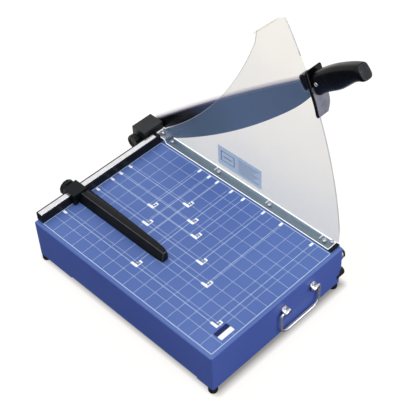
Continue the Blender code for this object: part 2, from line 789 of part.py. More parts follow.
def fluted_knob(name, radius, width, hub, hub_width, hole, hole_depth, parent):
    """A knob with a fluted rim, turned about +Z: hub below, face above, blind hole from below."""
    steps = 3 * KNOB_FLUTES
    levels = [
        (hub, 0, 0),
        (hub, hub_width, 0),
        (radius * 0.93, hub_width, 0.6),
        (radius, hub_width + width * 0.12, 1),
        (radius, width * 0.86, 1),
        (radius * 0.93, width, 0.6),
        (radius * 0.62, width, 0),
        (radius * 0.56, width * 0.92, 0),
    ]
    rings = []
    for size, height, flute in levels:
        ring = []
        for i in range(steps):
            angle = math.tau * i / steps
            dip = 1 - flute * KNOB_FLUTE_SHARE * (1 + math.cos(KNOB_FLUTES * angle))
            ring.append((size * dip * math.cos(angle), size * dip * math.sin(angle), height))
        rings.append(ring)
    knob = lofted(name, rings, BLACK_PLASTIC, parent)
    drill(knob, (0, 0, 0), "+Z", hole, hole_depth, FOOT_STEPS)
    return knob


def pivot_knob():
    """Adjusting knob on the bolt's left end, beside the block."""
    axis = hinge("pivot_knob_axis", (BLOCK_LEFT - SEAT_GAP, PIVOT[1], PIVOT[2]), FRAME)
    axis.rotation_euler = FACING["-X"].to_euler()
    fluted_knob(
        "pivot_knob",
        PIVOT_KNOB_RADIUS,
        PIVOT_KNOB_WIDTH,
        PIVOT_KNOB_HUB,
        PIVOT_KNOB_HUB_WIDTH,
        BOLT_RADIUS + 2 * BORE_CLEARANCE,
        PIVOT_KNOB_WIDTH - PIVOT_KNOB_WALL,
        axis,
    )


def blade_edge(reach):
    """Rise of the curved cutting edge, and behind the heel of the straight tail."""
    heel = (BLADE_HEEL_REACH, -BLADE_HEEL_DROP)
    if reach < BLADE_HEEL_REACH:
        share = (reach + BLADE_TAIL_REACH) / (BLADE_HEEL_REACH + BLADE_TAIL_REACH)
        return -BLADE_TAIL_DROP + share * (BLADE_TAIL_DROP - BLADE_HEEL_DROP)
    belly = (BLADE_REACH * BLADE_BELLY_SHARE, -BLADE_BELLY_DROP)
    nose = (BLADE_REACH, -BLADE_NOSE_DROP)
    return rise_on_arc(heel, belly, nose, reach)


def blade_top(reach):
    """Rise of the blade's upper edge."""
    if reach < 0:
        share = (reach + BLADE_TAIL_REACH) / BLADE_TAIL_REACH
        return BLADE_TAIL_RISE + share * (BLADE_TOP_BACK - BLADE_TAIL_RISE)
    middle = (BLADE_REACH * BLADE_TOP_SHARE, BLADE_TOP_MIDDLE)
    return rise_on_arc((0, BLADE_TOP_BACK), middle, (BLADE_REACH, BLADE_TOP_NOSE), reach)


def arm_top(reach):
    """Rise of the arm's crown, from its round end at the pivot."""
    if reach < 0:
        return math.sqrt(ARM_BOSS_RADIUS**2 - reach**2)
    middle = (BLADE_REACH * BLADE_TOP_SHARE, ARM_TOP_MIDDLE)
    return rise_on_arc((0, ARM_BOSS_RADIUS), middle, (BLADE_REACH, ARM_TOP_NOSE), reach)


def arm_low(reach):
    """Rise of the arm's lower edge."""
    if reach < 0:
        return -arm_top(reach)
    return -ARM_BOSS_RADIUS + reach / BLADE_REACH * (ARM_BOSS_RADIUS - ARM_NOSE_DROP)


def blade(lever):
    """Swinging blade: flat towards the knife, hollow-curved edge ground from the right."""
    left, right = BLADE_GAP, BLADE_RIGHT
    count = 2 * ARC_POINTS
    span = BLADE_REACH - BLADE_HEEL_REACH
    reaches = [-BLADE_TAIL_REACH, 0, BLADE_HEEL_REACH]
    reaches += [BLADE_HEEL_REACH + span * i / count for i in range(1, count)]
    rings = [blade_ring(reach, blade_edge(reach), blade_top(reach), left, right) for reach in reaches]
    corner = BLADE_GRIND / 2
    top = blade_top(BLADE_REACH)
    reach = BLADE_REACH - corner
    rings.append(blade_ring(reach, blade_edge(reach), top, left, right))
    rings.append(blade_ring(BLADE_REACH, blade_edge(BLADE_REACH) + corner, top, left, right))
    made = lofted("blade", rings, BLADE_STEEL, lever)
    drill(made, (0, 0, 0), "+X", BUSH_RADIUS + BORE_CLEARANCE, BLADE_RIGHT + OVERRUN, ROUND_STEPS)
    return made


def blade_ring(reach, edge, top, left, right):
    """Section of the blade at a reach: a land at the edge, the ground slope, then full thickness."""
    slope = min(BLADE_GRIND, (top - edge) / 3)
    outline = [(left, edge), (left + BLADE_LAND, edge), (right, edge + slope), (right, top), (left, top)]
    return [(x, -reach, rise) for x, rise in outline]


def lever_arm(lever):
    """Arm behind the blade, with a rounded crown, a round boss at the pivot and a tang for the handle."""
    boss = [-ARM_BOSS_RADIUS * math.cos(math.radians(angle)) for angle in (12, 30, 48, 66, 80)]
    end = BLADE_REACH
    reaches = boss + [end * i / ARC_POINTS for i in range(ARC_POINTS + 1)]
    rings = []
    for reach in reaches:
        top, low = arm_top(reach), arm_low(reach)
        crown = min(ARM_CROWN_RADIUS, (top - low) / 3)
        outline = [(ARM_LEFT, low), (ARM_RIGHT, low)]
        outline += quarter((ARM_RIGHT - crown, top - crown), crown, 0)
        outline += quarter((ARM_LEFT + crown, top - crown), crown, 90)
        rings.append([(x, -reach, rise) for x, rise in outline])
    arm = lofted("lever_arm", rings, ARM_METAL, lever)
    middle = (ARM_LEFT + ARM_RIGHT) / 2
    mesh, centre = box_mesh(
        (middle - TANG_WIDTH / 2, -end - TANG_LENGTH, -TANG_TOP_DROP - TANG_HEIGHT),
        (middle + TANG_WIDTH / 2, -end + OVERRUN, -TANG_TOP_DROP),
    )
    combine(arm, place("tang", mesh, None, lever, centre), "UNION")
    drill(arm, (ARM_LEFT, 0, 0), "+X", BUSH_RADIUS + BORE_CLEARANCE, ARM_THICKNESS + OVERRUN, ROUND_STEPS)
    return arm


def bush(lever):
    """Bronze bush pressed into blade and arm, which turns on the bolt."""
    inner = BOLT_RADIUS + BORE_CLEARANCE
    width = ARM_RIGHT - BLADE_GAP
    profile = [(inner, width), (BUSH_RADIUS, width), (BUSH_RADIUS, 0), (inner, 0)]
    turned("pivot_bush", profile, BRONZE, lever, (BLADE_GAP, 0, 0), "+X", ring=True)


def blade_screws(lever, arm, made):
    """Screws in counterbores of the arm's right side, tapped into the blade."""
    seat = ARM_RIGHT - BLADE_SCREW_COUNTERBORE
    for number, share in enumerate(BLADE_SCREW_SHARES, 1):
        reach = BLADE_REACH * share
        rise = arm_low(reach) + (arm_top(reach) - arm_low(reach)) * BLADE_SCREW_RISE_SHARE
        hole = PAN_SHANK + SCREW_CLEARANCE
        drill(arm, (ARM_RIGHT, -reach, rise), "-X", PAN_HEAD + SCREW_CLEARANCE, BLADE_SCREW_COUNTERBORE)
        drill(arm, (ARM_RIGHT, -reach, rise), "-X", hole, ARM_THICKNESS + OVERRUN)
        drill(made, (BLADE_RIGHT, -reach, rise), "-X", hole, BLADE_THICKNESS - BLADE_LAND)
        length = seat - BLADE_GAP - BLADE_LAND - SEAT_GAP
        pan_screw(f"blade_screw_{number}", (seat, -reach, rise), "-X", length, lever)


def hand_guard_face(rise):
    """Reach of the hand guard's blade-side face: a leaning line that curls back below the grip."""
    lean = HAND_GUARD_LEAN_SHARE * (rise + TANG_TOP_DROP + TANG_HEIGHT / 2)
    below_grip = max(0, -rise - GRIP_HEIGHT) / (HAND_GUARD_DROP - GRIP_HEIGHT)
    return HAND_GUARD_REACH + lean - HAND_GUARD_CURL * below_grip**2


def rounded_ring(left, right, low, top, radius, reach_at):
    """A rectangle with round corners in the plane square to the lever, at a reach that may lean."""
    outline = quarter((right - radius, top - radius), radius, 0)
    outline += quarter((left + radius, top - radius), radius, 90)
    outline += quarter((left + radius, low + radius), radius, 180)
    outline += quarter((right - radius, low + radius), radius, 270)
    return [(x, -reach_at(rise), rise) for x, rise in outline]


def tang_slot(made, first, last):
    """The slot that the tang passes through, between two reaches."""
    middle = (ARM_LEFT + ARM_RIGHT) / 2
    half = TANG_WIDTH / 2 + SEAT_GAP
    return cut_box(
        made,
        (middle - half, -last, -TANG_TOP_DROP - TANG_HEIGHT - SEAT_GAP),
        (middle + half, -first, -TANG_TOP_DROP + SEAT_GAP),
    )


def handle(lever):
    """Collar, hand guard and grip, threaded on the tang one after another."""
    start = BLADE_REACH + SEAT_GAP
    left, right = BLADE_GAP, ARM_RIGHT + COLLAR_WALL
    ends = (lambda rise: start, lambda rise: hand_guard_face(rise) - SEAT_GAP)
    rings = []
    for share in (0, 0.12, 0.88, 1):
        inset = COLLAR_FILLET / 2 if share in (0, 1) else 0

        def reach_at(rise, share=share):
            return ends[0](rise) * (1 - share) + ends[1](rise) * share

        low, top = inset - COLLAR_DROP, COLLAR_RISE - inset
        rings.append(rounded_ring(left + inset, right - inset, low, top, COLLAR_FILLET, reach_at))
    collar = lofted("handle_collar", rings, BLACK_PLASTIC, lever)
    tang_slot(collar, start - OVERRUN, HAND_GUARD_REACH + COLLAR_FILLET)

    rings = []
    levels = [HAND_GUARD_TOP, HAND_GUARD_TOP - HAND_GUARD_SHEET]
    span = HAND_GUARD_TOP + HAND_GUARD_DROP
    levels += [HAND_GUARD_TOP - span * share for share in (0.15, 0.3, 0.45, 0.6, 0.72, 0.84, 0.92, 0.97, 1.0)]
    for rise in levels:
        down = (HAND_GUARD_TOP - rise) / span
        right = HAND_GUARD_RIGHT * (1 - 0.1 * down - 0.33 * max(0, (down - 0.72) / 0.28) ** 2)
        right -= HAND_GUARD_SHEET / 2 if rise == HAND_GUARD_TOP else 0
        left = -HAND_GUARD_LEFT + HAND_GUARD_SHEET * max(0, (down - 0.9) / 0.1) ** 2
        thin = HAND_GUARD_SHEET / 4 if rise == HAND_GUARD_TOP else 0
        near = hand_guard_face(rise) + thin
        far = hand_guard_face(rise) + HAND_GUARD_SHEET - thin
        rings.append([(left, -near, rise), (right, -near, rise), (right, -far, rise), (left, -far, rise)])
    guard = lofted("hand_guard", rings, BLACK_PLASTIC, lever)
    tang_slot(guard, HAND_GUARD_REACH - COLLAR_FILLET * 2, HAND_GUARD_REACH + COLLAR_FILLET * 4)
    return guard


# Side view of the grip: place along it, top and bottom as shares of its height, and width share
GRIP_SHARES = (
    (0.00, -0.020, -0.870, 0.90),
    (0.03, 0.010, -0.895, 0.97),
    (0.16, 0.028, -0.865, 1.00),
    (0.30, 0.032, -0.890, 1.00),
    (0.42, 0.022, -0.920, 1.00),
    (0.52, 0.002, -0.920, 0.99),
    (0.62, -0.030, -0.890, 0.98),
    (0.72, -0.070, -0.850, 0.97),
    (0.82, -0.120, -0.825, 0.96),
    (0.90, -0.170, -0.850, 0.90),
    (0.96, -0.215, -0.905, 0.76),
    (1.00, -0.280, -0.860, 0.48),
)


def grip(lever):
    """Moulded grip: a round-cornered bar that swells under the fingers, closed at its far end."""
    length = GRIP_LENGTH

    def start(rise):
        return hand_guard_face(rise) + HAND_GUARD_SHEET + SEAT_GAP

    finish_reach = HAND_GUARD_REACH + HAND_GUARD_SHEET + length
    rings = []
    for share, top, low, wide in GRIP_SHARES:

        def reach_at(rise, share=share):
            return start(rise) * (1 - share) + finish_reach * share

        half = GRIP_WIDTH * wide / 2
        corner = half * 0.55
        rings.append(
            rounded_ring(
                GRIP_OFFSET - half, GRIP_OFFSET + half, GRIP_HEIGHT * low, GRIP_HEIGHT * top, corner, reach_at
            )
        )
    made = lofted("grip", rings, BLACK_PLASTIC, lever)
    tang_slot(made, HAND_GUARD_REACH - OVERRUN, BLADE_REACH + TANG_LENGTH + SEAT_GAP)
    reach = HAND_GUARD_REACH + GRIP_SCREW_REACH
    side = GRIP_OFFSET - GRIP_WIDTH / 2
    seat = side + PAN_HEAD_HEIGHT
    at = (side, -reach, -GRIP_SCREW_DROP)
    tang_side = (ARM_LEFT + ARM_RIGHT - TANG_WIDTH) / 2
    hole = PAN_SHANK + SCREW_CLEARANCE
    drill(made, at, "+X", GRIP_SCREW_HEAD + SCREW_CLEARANCE, PAN_HEAD_HEIGHT)
    drill(made, at, "+X", hole, tang_side - side + OVERRUN)
    length = tang_side + TANG_WIDTH / 2 - seat
    at_seat = (seat, at[1], at[2])
    height = PAN_HEAD_HEIGHT * 0.8
    screw("grip_screw", at_seat, "+X", GRIP_SCREW_HEAD, height, PAN_SHANK, length, BRIGHT_STEEL, lever)
    return at, tang_side


def lever_assembly():
    lever = hinge("lever_hinge", PIVOT, FRAME, -math.radians(LEVER_REST_ANGLE))
    made = blade(lever)
    arm = lever_arm(lever)
    bush(lever)
    blade_screws(lever, arm, made)
    handle(lever)
    at, tang_side = grip(lever)
    drill(arm, (tang_side, at[1], at[2]), "+X", PAN_SHANK + SCREW_CLEARANCE, TANG_WIDTH / 2 + SEAT_GAP)


# Guard outline about the pivot: reach as a share of the hand guard's, angle as a share of the
# lever's rest angle. Three points for the back edge, then the top corners, then the front edge.
GUARD_BACK_SHARES = ((0.070, 0.62), (0.434, 1.034), (0.852, 1.259))
GUARD_TOP_SHARES = ((0.899, 1.300), (1.020, 1.278), (1.055, 1.257))
GUARD_FRONT_SHARES = ((1.046, 1.215), (0.944, 0.661), (GUARD_NOSE_SHARE * 0.992, 0.032))


def guard_point(reach_share, angle_share):
    """A point of the guard's plate, given about the lever's pivot."""
    reach = HAND_GUARD_REACH * reach_share
    angle = math.radians(LEVER_REST_ANGLE * angle_share)
    return (PIVOT[1] - reach * math.cos(angle), PIVOT[2] + reach * math.sin(angle))


def safety_guard(housing):
    """Clear guard: an upright plate and a flange bent from one sheet, stepped up over its bracket."""
    outline = [(GUARD_TAB_BACK, TAB_Z), *arc_points(*[guard_point(*share) for share in GUARD_BACK_SHARES])]
    outline += [guard_point(*share) for share in GUARD_TOP_SHARES]
    outline += arc_points(*[guard_point(*share) for share in GUARD_FRONT_SHARES])
    outline += [(FLANGE_FRONT, FLANGE_Z), (-GUARD_JOGGLE, FLANGE_Z), (-GUARD_JOGGLE, TAB_Z)]
    at = (GUARD_RIGHT - GUARD_SHEET / 2, 0, 0)
    plate = extruded("safety_guard", outline, GUARD_SHEET, "X", CLEAR_SHEET, FRAME, at)
    section = [
        (FLANGE_FRONT, FLANGE_Z),
        (-GUARD_JOGGLE, FLANGE_Z),
        (-GUARD_JOGGLE, TAB_Z),
        (GUARD_TAB_BACK, TAB_Z),
        (GUARD_TAB_BACK, TAB_Z + GUARD_SHEET),
        (-GUARD_JOGGLE - GUARD_SHEET, TAB_Z + GUARD_SHEET),
        (-GUARD_JOGGLE - GUARD_SHEET, FLANGE_Z + GUARD_SHEET),
        (FLANGE_FRONT, FLANGE_Z + GUARD_SHEET),
    ]
    width = GUARD_FLANGE_WIDTH - GUARD_SHEET / 2
    flange = extruded("flange", section, width, "X", None, FRAME, (GUARD_LEFT + width / 2, 0, 0))
    combine(plate, flange, "UNION")
    strip = box(
        "hold_down_strip",
        (GUARD_LEFT, FLANGE_FRONT, HOLD_STRIP_Z),
        (GUARD_RIGHT, -HOLD_STRIP_BACK, HOLD_STRIP_Z + HOLD_STRIP_THICKNESS),
        STRIP_METAL,
        FRAME,
    )
    x = GUARD_LEFT + GUARD_SCREW_INSET
    seat = FLANGE_Z + GUARD_SHEET
    hole = PAN_SHANK + SCREW_CLEARANCE
    for number, distance in enumerate(GUARD_SCREW_PLACES, 1):
        drill(plate, (x, -distance, seat), "-Z", hole, GUARD_SHEET + OVERRUN / 2)
        drill(strip, (x, -distance, FLANGE_Z), "-Z", hole, HOLD_STRIP_THICKNESS + OVERRUN / 2)
        through = number == len(GUARD_SCREW_PLACES)
        length = seat - TABLE + 2 * BED_SHEET if through else seat - HOLD_STRIP_Z
        if through:
            drill(housing, (x, -distance, TABLE), "-Z", hole, 2 * BED_SHEET)
        pan_screw(f"guard_screw_{number}", (x, -distance, seat), "-Z", length, FRAME)
    guard_ends(housing, plate, x, hole)
    return plate


def guard_ends(housing, plate, x, hole):
    """Bracket under the raised tab at the back, and the black clip that carries the front end."""
    bracket = box(
        "guard_rear_bracket",
        (GUARD_LEFT, -GUARD_JOGGLE + SEAT_GAP, TABLE + SEAT_GAP),
        (GUARD_RIGHT - GUARD_SHEET, GUARD_TAB_BACK, TAB_Z - SEAT_GAP),
        BRIGHT_STEEL,
        FRAME,
        RAIL_CHAMFER,
    )
    seat = TAB_Z + GUARD_SHEET
    at = (x, GUARD_REAR_SCREW_BACK, seat)
    drill(plate, at, "-Z", hole, GUARD_SHEET + OVERRUN / 2)
    drill(bracket, (x, at[1], TAB_Z), "-Z", hole, GUARD_TAB_RISE + OVERRUN)
    drill(housing, (x, at[1], TABLE), "-Z", hole, 2 * BED_SHEET)
    length = seat - TABLE + 2 * BED_SHEET
    pan_screw("guard_rear_screw", at, "-Z", length, FRAME)

    front = -(BED_FRONT - END_CLIP_INSET)
    stop = front + END_CLIP_THICKNESS
    ledge_end = FLANGE_FRONT + END_CLIP_LEDGE
    low, ledge = TABLE + SEAT_GAP, HOLD_STRIP_Z - SEAT_GAP
    outline = [
        (front, low),
        (ledge_end, low),
        (ledge_end, ledge),
        (stop, ledge),
        (stop, TABLE + END_CLIP_RISE),
        (front, TABLE + END_CLIP_RISE),
    ]
    middle = (GUARD_LEFT + GUARD_RIGHT) / 2
    clip = extruded("guard_end_clip", outline, GUARD_FLANGE_WIDTH, "X", BLACK_PLASTIC, FRAME, (middle, 0, 0))
    drill(clip, (x, -GUARD_SCREW_PLACES[-1], ledge), "-Z", hole, PAPER_SLOT + OVERRUN)


def buffer_stop(housing, made):
    """Rubber ring on a shoulder screw, under the blade's nose at the bottom of its stroke."""
    low = math.radians(LEVER_LOW_ANGLE)
    y = -BED_FRONT + BUFFER_INSET
    reach = (PIVOT[1] - y) / math.cos(low)
    edge = PIVOT[2] + reach * math.sin(low) + blade_edge(reach) * math.cos(low)
    z = edge - 2 * SEAT_GAP - BUFFER_RADIUS
    width = BUFFER_WIDTH
    inner = BUFFER_SCREW_RADIUS + SCREW_CLEARANCE
    round_over = BUFFER_HEAD_WIDTH / 2
    profile = [
        (inner, width),
        (BUFFER_RADIUS - round_over, width),
        (BUFFER_RADIUS, width - round_over),
        (BUFFER_RADIUS, round_over),
        (BUFFER_RADIUS - round_over, 0),
        (inner, 0),
    ]
    turned("stop_buffer", profile, RUBBER, FRAME, (SEAT_GAP, y, z), "+X", ring=True)
    seat = width + SEAT_GAP
    length = seat + KNIFE_THICKNESS + 2 * BED_SHEET
    screw(
        "buffer_screw",
        (seat, y, z),
        "-X",
        BUFFER_HEAD_RADIUS,
        BUFFER_HEAD_WIDTH,
        BUFFER_SCREW_RADIUS,
        length,
        BRIGHT_STEEL,
        FRAME,
    )
    drill(made, (0, y, z), "-X", inner, KNIFE_THICKNESS + OVERRUN)
    drill(housing, (WALL_X, y, z), "-X", inner, 2 * BED_SHEET)


def side_bumper(housing):
    """Rubber bumper low at the right front corner, pushed into the wall like the feet."""
    y = -BED_FRONT + SIDE_FOOT_INSET
    z = FOOT_STANDOFF + SIDE_FOOT_RISE
    drill(housing, (WALL_X, y, z), "-X", FOOT_STEM_RADIUS + SCREW_CLEARANCE, 2 * BED_SHEET)
    at = (WALL_X + SEAT_GAP, y, z)
    standoff = SIDE_FOOT_REACH - WALL_X
    push_in_foot("side_foot", at, "-X", SIDE_FOOT_RADIUS, standoff, BED_SHEET, FRAME)


def gauge():
    """Sliding stop: block astride the rail, arm over the bed, clamp shoe and knob behind."""
    slide = hinge("gauge_slide", (-GAUGE_PLACE, 0, TABLE), FRAME)
    roof = STRIP_TOP - TABLE + SLIDE_CLEARANCE
    inner_back = RAIL_DEPTH + SLIDE_CLEARANCE
    back = inner_back + GAUGE_BLOCK_WALL
    front = -GAUGE_BLOCK_FRONT
    low = SLIDE_CLEARANCE
    outline = [
        (front, low),
        (-SLIDE_CLEARANCE, low),
        (-SLIDE_CLEARANCE, roof),
        (inner_back, roof),
        (inner_back, low),
        (back, low),
        (back, GAUGE_BLOCK_RISE),
        (front, GAUGE_BLOCK_RISE),
    ]
    block = extruded("gauge_block", outline, GAUGE_BLOCK_WIDTH, "X", BLACK_PLASTIC, slide, (0, 0, 0))
    soften(block, GAUGE_BLOCK_BEVEL)

    gauge_arm(block, slide, front, low)
    pocket = CLAMP_SHOE_WIDTH + 2 * SEAT_GAP
    at = (0, inner_back, CLAMP_RISE)
    drill(block, at, "+Y", CLAMP_SHOE_RADIUS + SEAT_GAP, pocket)
    drill(block, at, "+Y", CLAMP_SCREW_RADIUS + BORE_CLEARANCE * 2, 2 * GAUGE_BLOCK_WALL)
    profile = [(0, CLAMP_SHOE_WIDTH), (CLAMP_SHOE_RADIUS, CLAMP_SHOE_WIDTH), (CLAMP_SHOE_RADIUS, 0), (0, 0)]
    shoe_at = (0, RAIL_DEPTH + SEAT_GAP, CLAMP_RISE)
    turned("clamp_shoe", profile, BRONZE, slide, shoe_at, "+Y", SMALL_STEPS)

    axis = hinge("clamp_knob_axis", (0, back + SEAT_GAP, CLAMP_RISE), slide)
    axis.rotation_euler = FACING["+Y"].to_euler()
    depth = CLAMP_KNOB_WIDTH - CLAMP_KNOB_WALL
    fluted_knob(
        "clamp_knob",
        CLAMP_KNOB_RADIUS,
        CLAMP_KNOB_WIDTH,
        CLAMP_KNOB_HUB,
        CLAMP_KNOB_HUB_WIDTH,
        CLAMP_SCREW_RADIUS + SEAT_GAP,
        depth,
        axis,
    )
    start = shoe_at[1] + CLAMP_SHOE_WIDTH + SEAT_GAP - (back + SEAT_GAP)
    end, radius = depth - SEAT_GAP, CLAMP_SCREW_RADIUS
    profile = [(0, end), (radius, end), (radius, start), (0, start)]
    turned("clamp_screw", profile, BRIGHT_STEEL, axis, (0, 0, 0), "+Z", FOOT_STEPS)


# Rounded nose of the gauge's arm: place along it, then shares of its width and its height
GAUGE_NOSE_SHARES = (
    (0.0, 1.0, 1.0),
    (0.92, 0.95, 0.93),
    (0.965, 0.88, 0.90),
    (0.985, 0.74, 0.86),
    (1.0, 0.46, 0.74),
)


def gauge_arm(block, slide, front, low):
    """Arm over the bed: a leaning left face, a ridge, and a rounded back that falls to the right."""
    arm_back = -2 * SLIDE_CLEARANCE
    middle = (GAUGE_ARM_RIDGE + GAUGE_ARM_SWEEP - GAUGE_ARM_LEFT) / 2
    bevel = GAUGE_BLOCK_BEVEL
    height = GAUGE_ARM_HEIGHT
    outline = [(-GAUGE_ARM_LEFT, 0), (GAUGE_ARM_RIDGE - bevel, height - bevel)]
    for i in range(ARC_POINTS):
        angle = math.radians(90 - 90 * i / (ARC_POINTS - 1))
        outline.append((GAUGE_ARM_RIDGE + GAUGE_ARM_SWEEP * math.cos(angle), height * math.sin(angle)))
    length = GAUGE_ARM_LENGTH - front + arm_back
    rings = []
    for along, wide, high in GAUGE_NOSE_SHARES:
        y = arm_back - length * along
        rings.append([(middle + (x - middle) * wide, y, low + rise * high) for x, rise in outline])
    arm = lofted("gauge_arm", rings, BLACK_PLASTIC, slide)
    face = front - SEAT_GAP
    cut_box(arm, (-GAUGE_BLOCK_WIDTH, face, 0), (GAUGE_BLOCK_WIDTH / 2 + SEAT_GAP, OVERRUN, GAUGE_BLOCK_RISE))
    left, right = GAUGE_ARM_RIDGE, GAUGE_ARM_RIDGE + GAUGE_TENON_WIDTH
    top = low + GAUGE_ARM_HEIGHT / 2
    tenon_low = top - GAUGE_TENON_HEIGHT
    mesh, centre = box_mesh((left, face - OVERRUN, tenon_low), (right, face + GAUGE_TENON_DEPTH, top))
    combine(arm, place("tenon", mesh, None, slide, centre), "UNION")
    cut_box(
        block,
        (left - SEAT_GAP, front - OVERRUN, tenon_low - SEAT_GAP),
        (right + SEAT_GAP, face + GAUGE_TENON_DEPTH + SEAT_GAP, top + SEAT_GAP),
    )


def saddle(name, x, wall, z, axis_out):
    """A pressed strap: two flanges on the wall and a half-round loop over the bail's pin."""
    inner = BAIL_WIRE_RADIUS + SEAT_GAP
    half = SADDLE_HEIGHT / 2
    seat = wall - SEAT_GAP
    points = [(seat, half), (seat, inner)]
    for i in range(9):
        angle = math.radians(90 + 180 * i / 8)
        points.append((wall - axis_out + inner * math.cos(angle), inner * math.sin(angle)))
    points += [(seat, -inner), (seat, -half)]
    mesh = bpy.data.meshes.new(name)
    side = SADDLE_WIDTH / 2
    count = len(points)
    verts = [(-side, y, rise) for y, rise in points] + [(side, y, rise) for y, rise in points]
    mesh.from_pydata(verts, [], [(i, i + 1, count + i + 1, count + i) for i in range(count - 1)])
    made = place(name, mesh, CHROME, FRAME, (x, 0, z), smooth=True)
    sheet = made.modifiers.new("sheet", "SOLIDIFY")
    sheet.thickness = SADDLE_SHEET
    sheet.offset = 1.0
    sheet.use_even_offset = True
    return made


def carrying_handle(housing):
    """Wire bail in two saddles on the front wall. It hangs down, and swings out to be held."""
    wall = -BED_FRONT
    z = TABLE - SADDLE_RISE_DROP
    axis_out = 2 * BAIL_WIRE_RADIUS + SADDLE_SHEET
    inboard = BAIL_BEND_RADIUS + SADDLE_OUTBOARD_GAP + SADDLE_WIDTH / 2
    for number, (side, sign) in enumerate((("left", -1), ("right", 1))):
        x = -BAIL_CENTRE + sign * (BAIL_HALF_WIDTH - inboard)
        made = saddle(f"saddle_{side}", x, wall, z, axis_out)
        rivet_rise = SADDLE_HEIGHT / 2 - RIVET_EDGE
        for place_number, rise in enumerate((rivet_rise, -rivet_rise), 1):
            at = (x, wall - SEAT_GAP - SADDLE_SHEET, z + rise)
            hole = RIVET_SHANK + SCREW_CLEARANCE
            drill(made, at, "+Y", hole, SADDLE_SHEET + SEAT_GAP / 2)
            drill(housing, (x, wall, z + rise), "+Y", hole, 2 * BED_SHEET)
            length = SADDLE_SHEET + BED_SHEET + 2 * SEAT_GAP + RIVET_HEAD_HEIGHT
            screw(
                f"saddle_rivet_{2 * number + place_number}",
                at,
                "+Y",
                RIVET_HEAD,
                RIVET_HEAD_HEIGHT,
                RIVET_SHANK,
                length,
                CHROME,
                FRAME,
            )
    axis = hinge("bail_hinge", (-BAIL_CENTRE, wall - axis_out, z), FRAME)
    half, pin = BAIL_HALF_WIDTH, BAIL_PIN_LENGTH
    corners = [
        (pin - half, 0, 0),
        (-half, 0, 0),
        (-half, 0, -BAIL_DROP),
        (half, 0, -BAIL_DROP),
        (half, 0, 0),
        (half - pin, 0, 0),
    ]
    path = bent(corners, (BAIL_BEND_RADIUS, BAIL_CORNER_RADIUS, BAIL_CORNER_RADIUS, BAIL_BEND_RADIUS))
    curve = bpy.data.curves.new("carry_bail", "CURVE")
    curve.dimensions = "3D"
    curve.bevel_depth = BAIL_WIRE_RADIUS
    curve.bevel_resolution = 2
    curve.use_fill_caps = True
    spline = curve.splines.new("POLY")
    spline.points.add(len(path) - 1)
    for point, corner in zip(spline.points, path):
        point.co = (*corner, 1)
    wire = bpy.data.objects.new("carry_bail", curve)
    PARTS.objects.link(wire)
    mesh = baked(wire)
    bpy.data.objects.remove(wire)
    place("carry_bail", mesh, CHROME, axis, smooth=True)


def centre_on_floor():
    """Moves the frame so that the origin is the bottom centre of the whole cutter."""
    bpy.context.view_layer.update()
    graph = bpy.context.evaluated_depsgraph_get()
    corners = []
    for made in PARTS.objects:
        if made.type == "MESH":
            seen = made.evaluated_get(graph)
            corners += [seen.matrix_world @ Vector(corner) for corner in seen.bound_box]
    for axis in (0, 1):
        values = [corner[axis] for corner in corners]
        FRAME.location[axis] -= (min(values) + max(values)) / 2


clear_scene()
PARTS = collection("guillotine_paper_cutter")
CUTTERS = collection("cutters", hidden=True)

ENAMEL = finish("blue_enamel", linear(74, 102, 172), 0.38)
BLACK_METAL = finish("black_satin_metal", linear(46, 49, 50), 0.42, 0.3)
BLACK_PLASTIC = finish("black_plastic", linear(30, 31, 33), 0.35)
CHROME = finish("chrome", linear(225, 228, 232), 0.12, 1.0)
BRIGHT_STEEL = finish("zinc_plated_steel", linear(196, 198, 196), 0.3, 1.0)
TOOL_STEEL = finish("ground_tool_steel", linear(178, 182, 186), 0.25, 1.0)
BLADE_STEEL = finish("dark_blade_steel", linear(40, 44, 50), 0.3, 0.8)
ARM_METAL = finish("silver_arm", linear(190, 188, 196), 0.35, 0.6)
STRIP_METAL = finish("hold_down_strip_metal", linear(120, 140, 142), 0.35, 0.7)
BRONZE = finish("bronze", linear(176, 136, 84), 0.4, 1.0)
RUBBER = finish("black_rubber", linear(24, 24, 25), 0.75)
CLEAR_SHEET = finish("clear_acrylic", linear(232, 236, 240), 0.08, 0.0, 0.3)

FRAME = hinge("cutter_frame", (0, 0, 0))
HOUSING = bed_housing()
feet(HOUSING)
KNIFE = knife(HOUSING)
rail(HOUSING)
pivot_block(HOUSING)
axle()
pivot_knob()
lever_assembly()
safety_guard(HOUSING)
buffer_stop(HOUSING, KNIFE)
side_bumper(HOUSING)
gauge()
carrying_handle(HOUSING)
centre_on_floor()
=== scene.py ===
# %% [markdown]
# # Dressing a guillotine paper cutter
# The cutter's CAD model comes in as a fixed frame that this lesson never moves. It gets the
# finishes of the real machine, its printed paper grid, a bent clear guard, a moulded handle and
# proper screws. Everything is in metres, with +Z up and the user at -Y.

# %% Load the frame
import json

import bmesh
import bpy
import numpy as np
from mathutils import Matrix, Vector


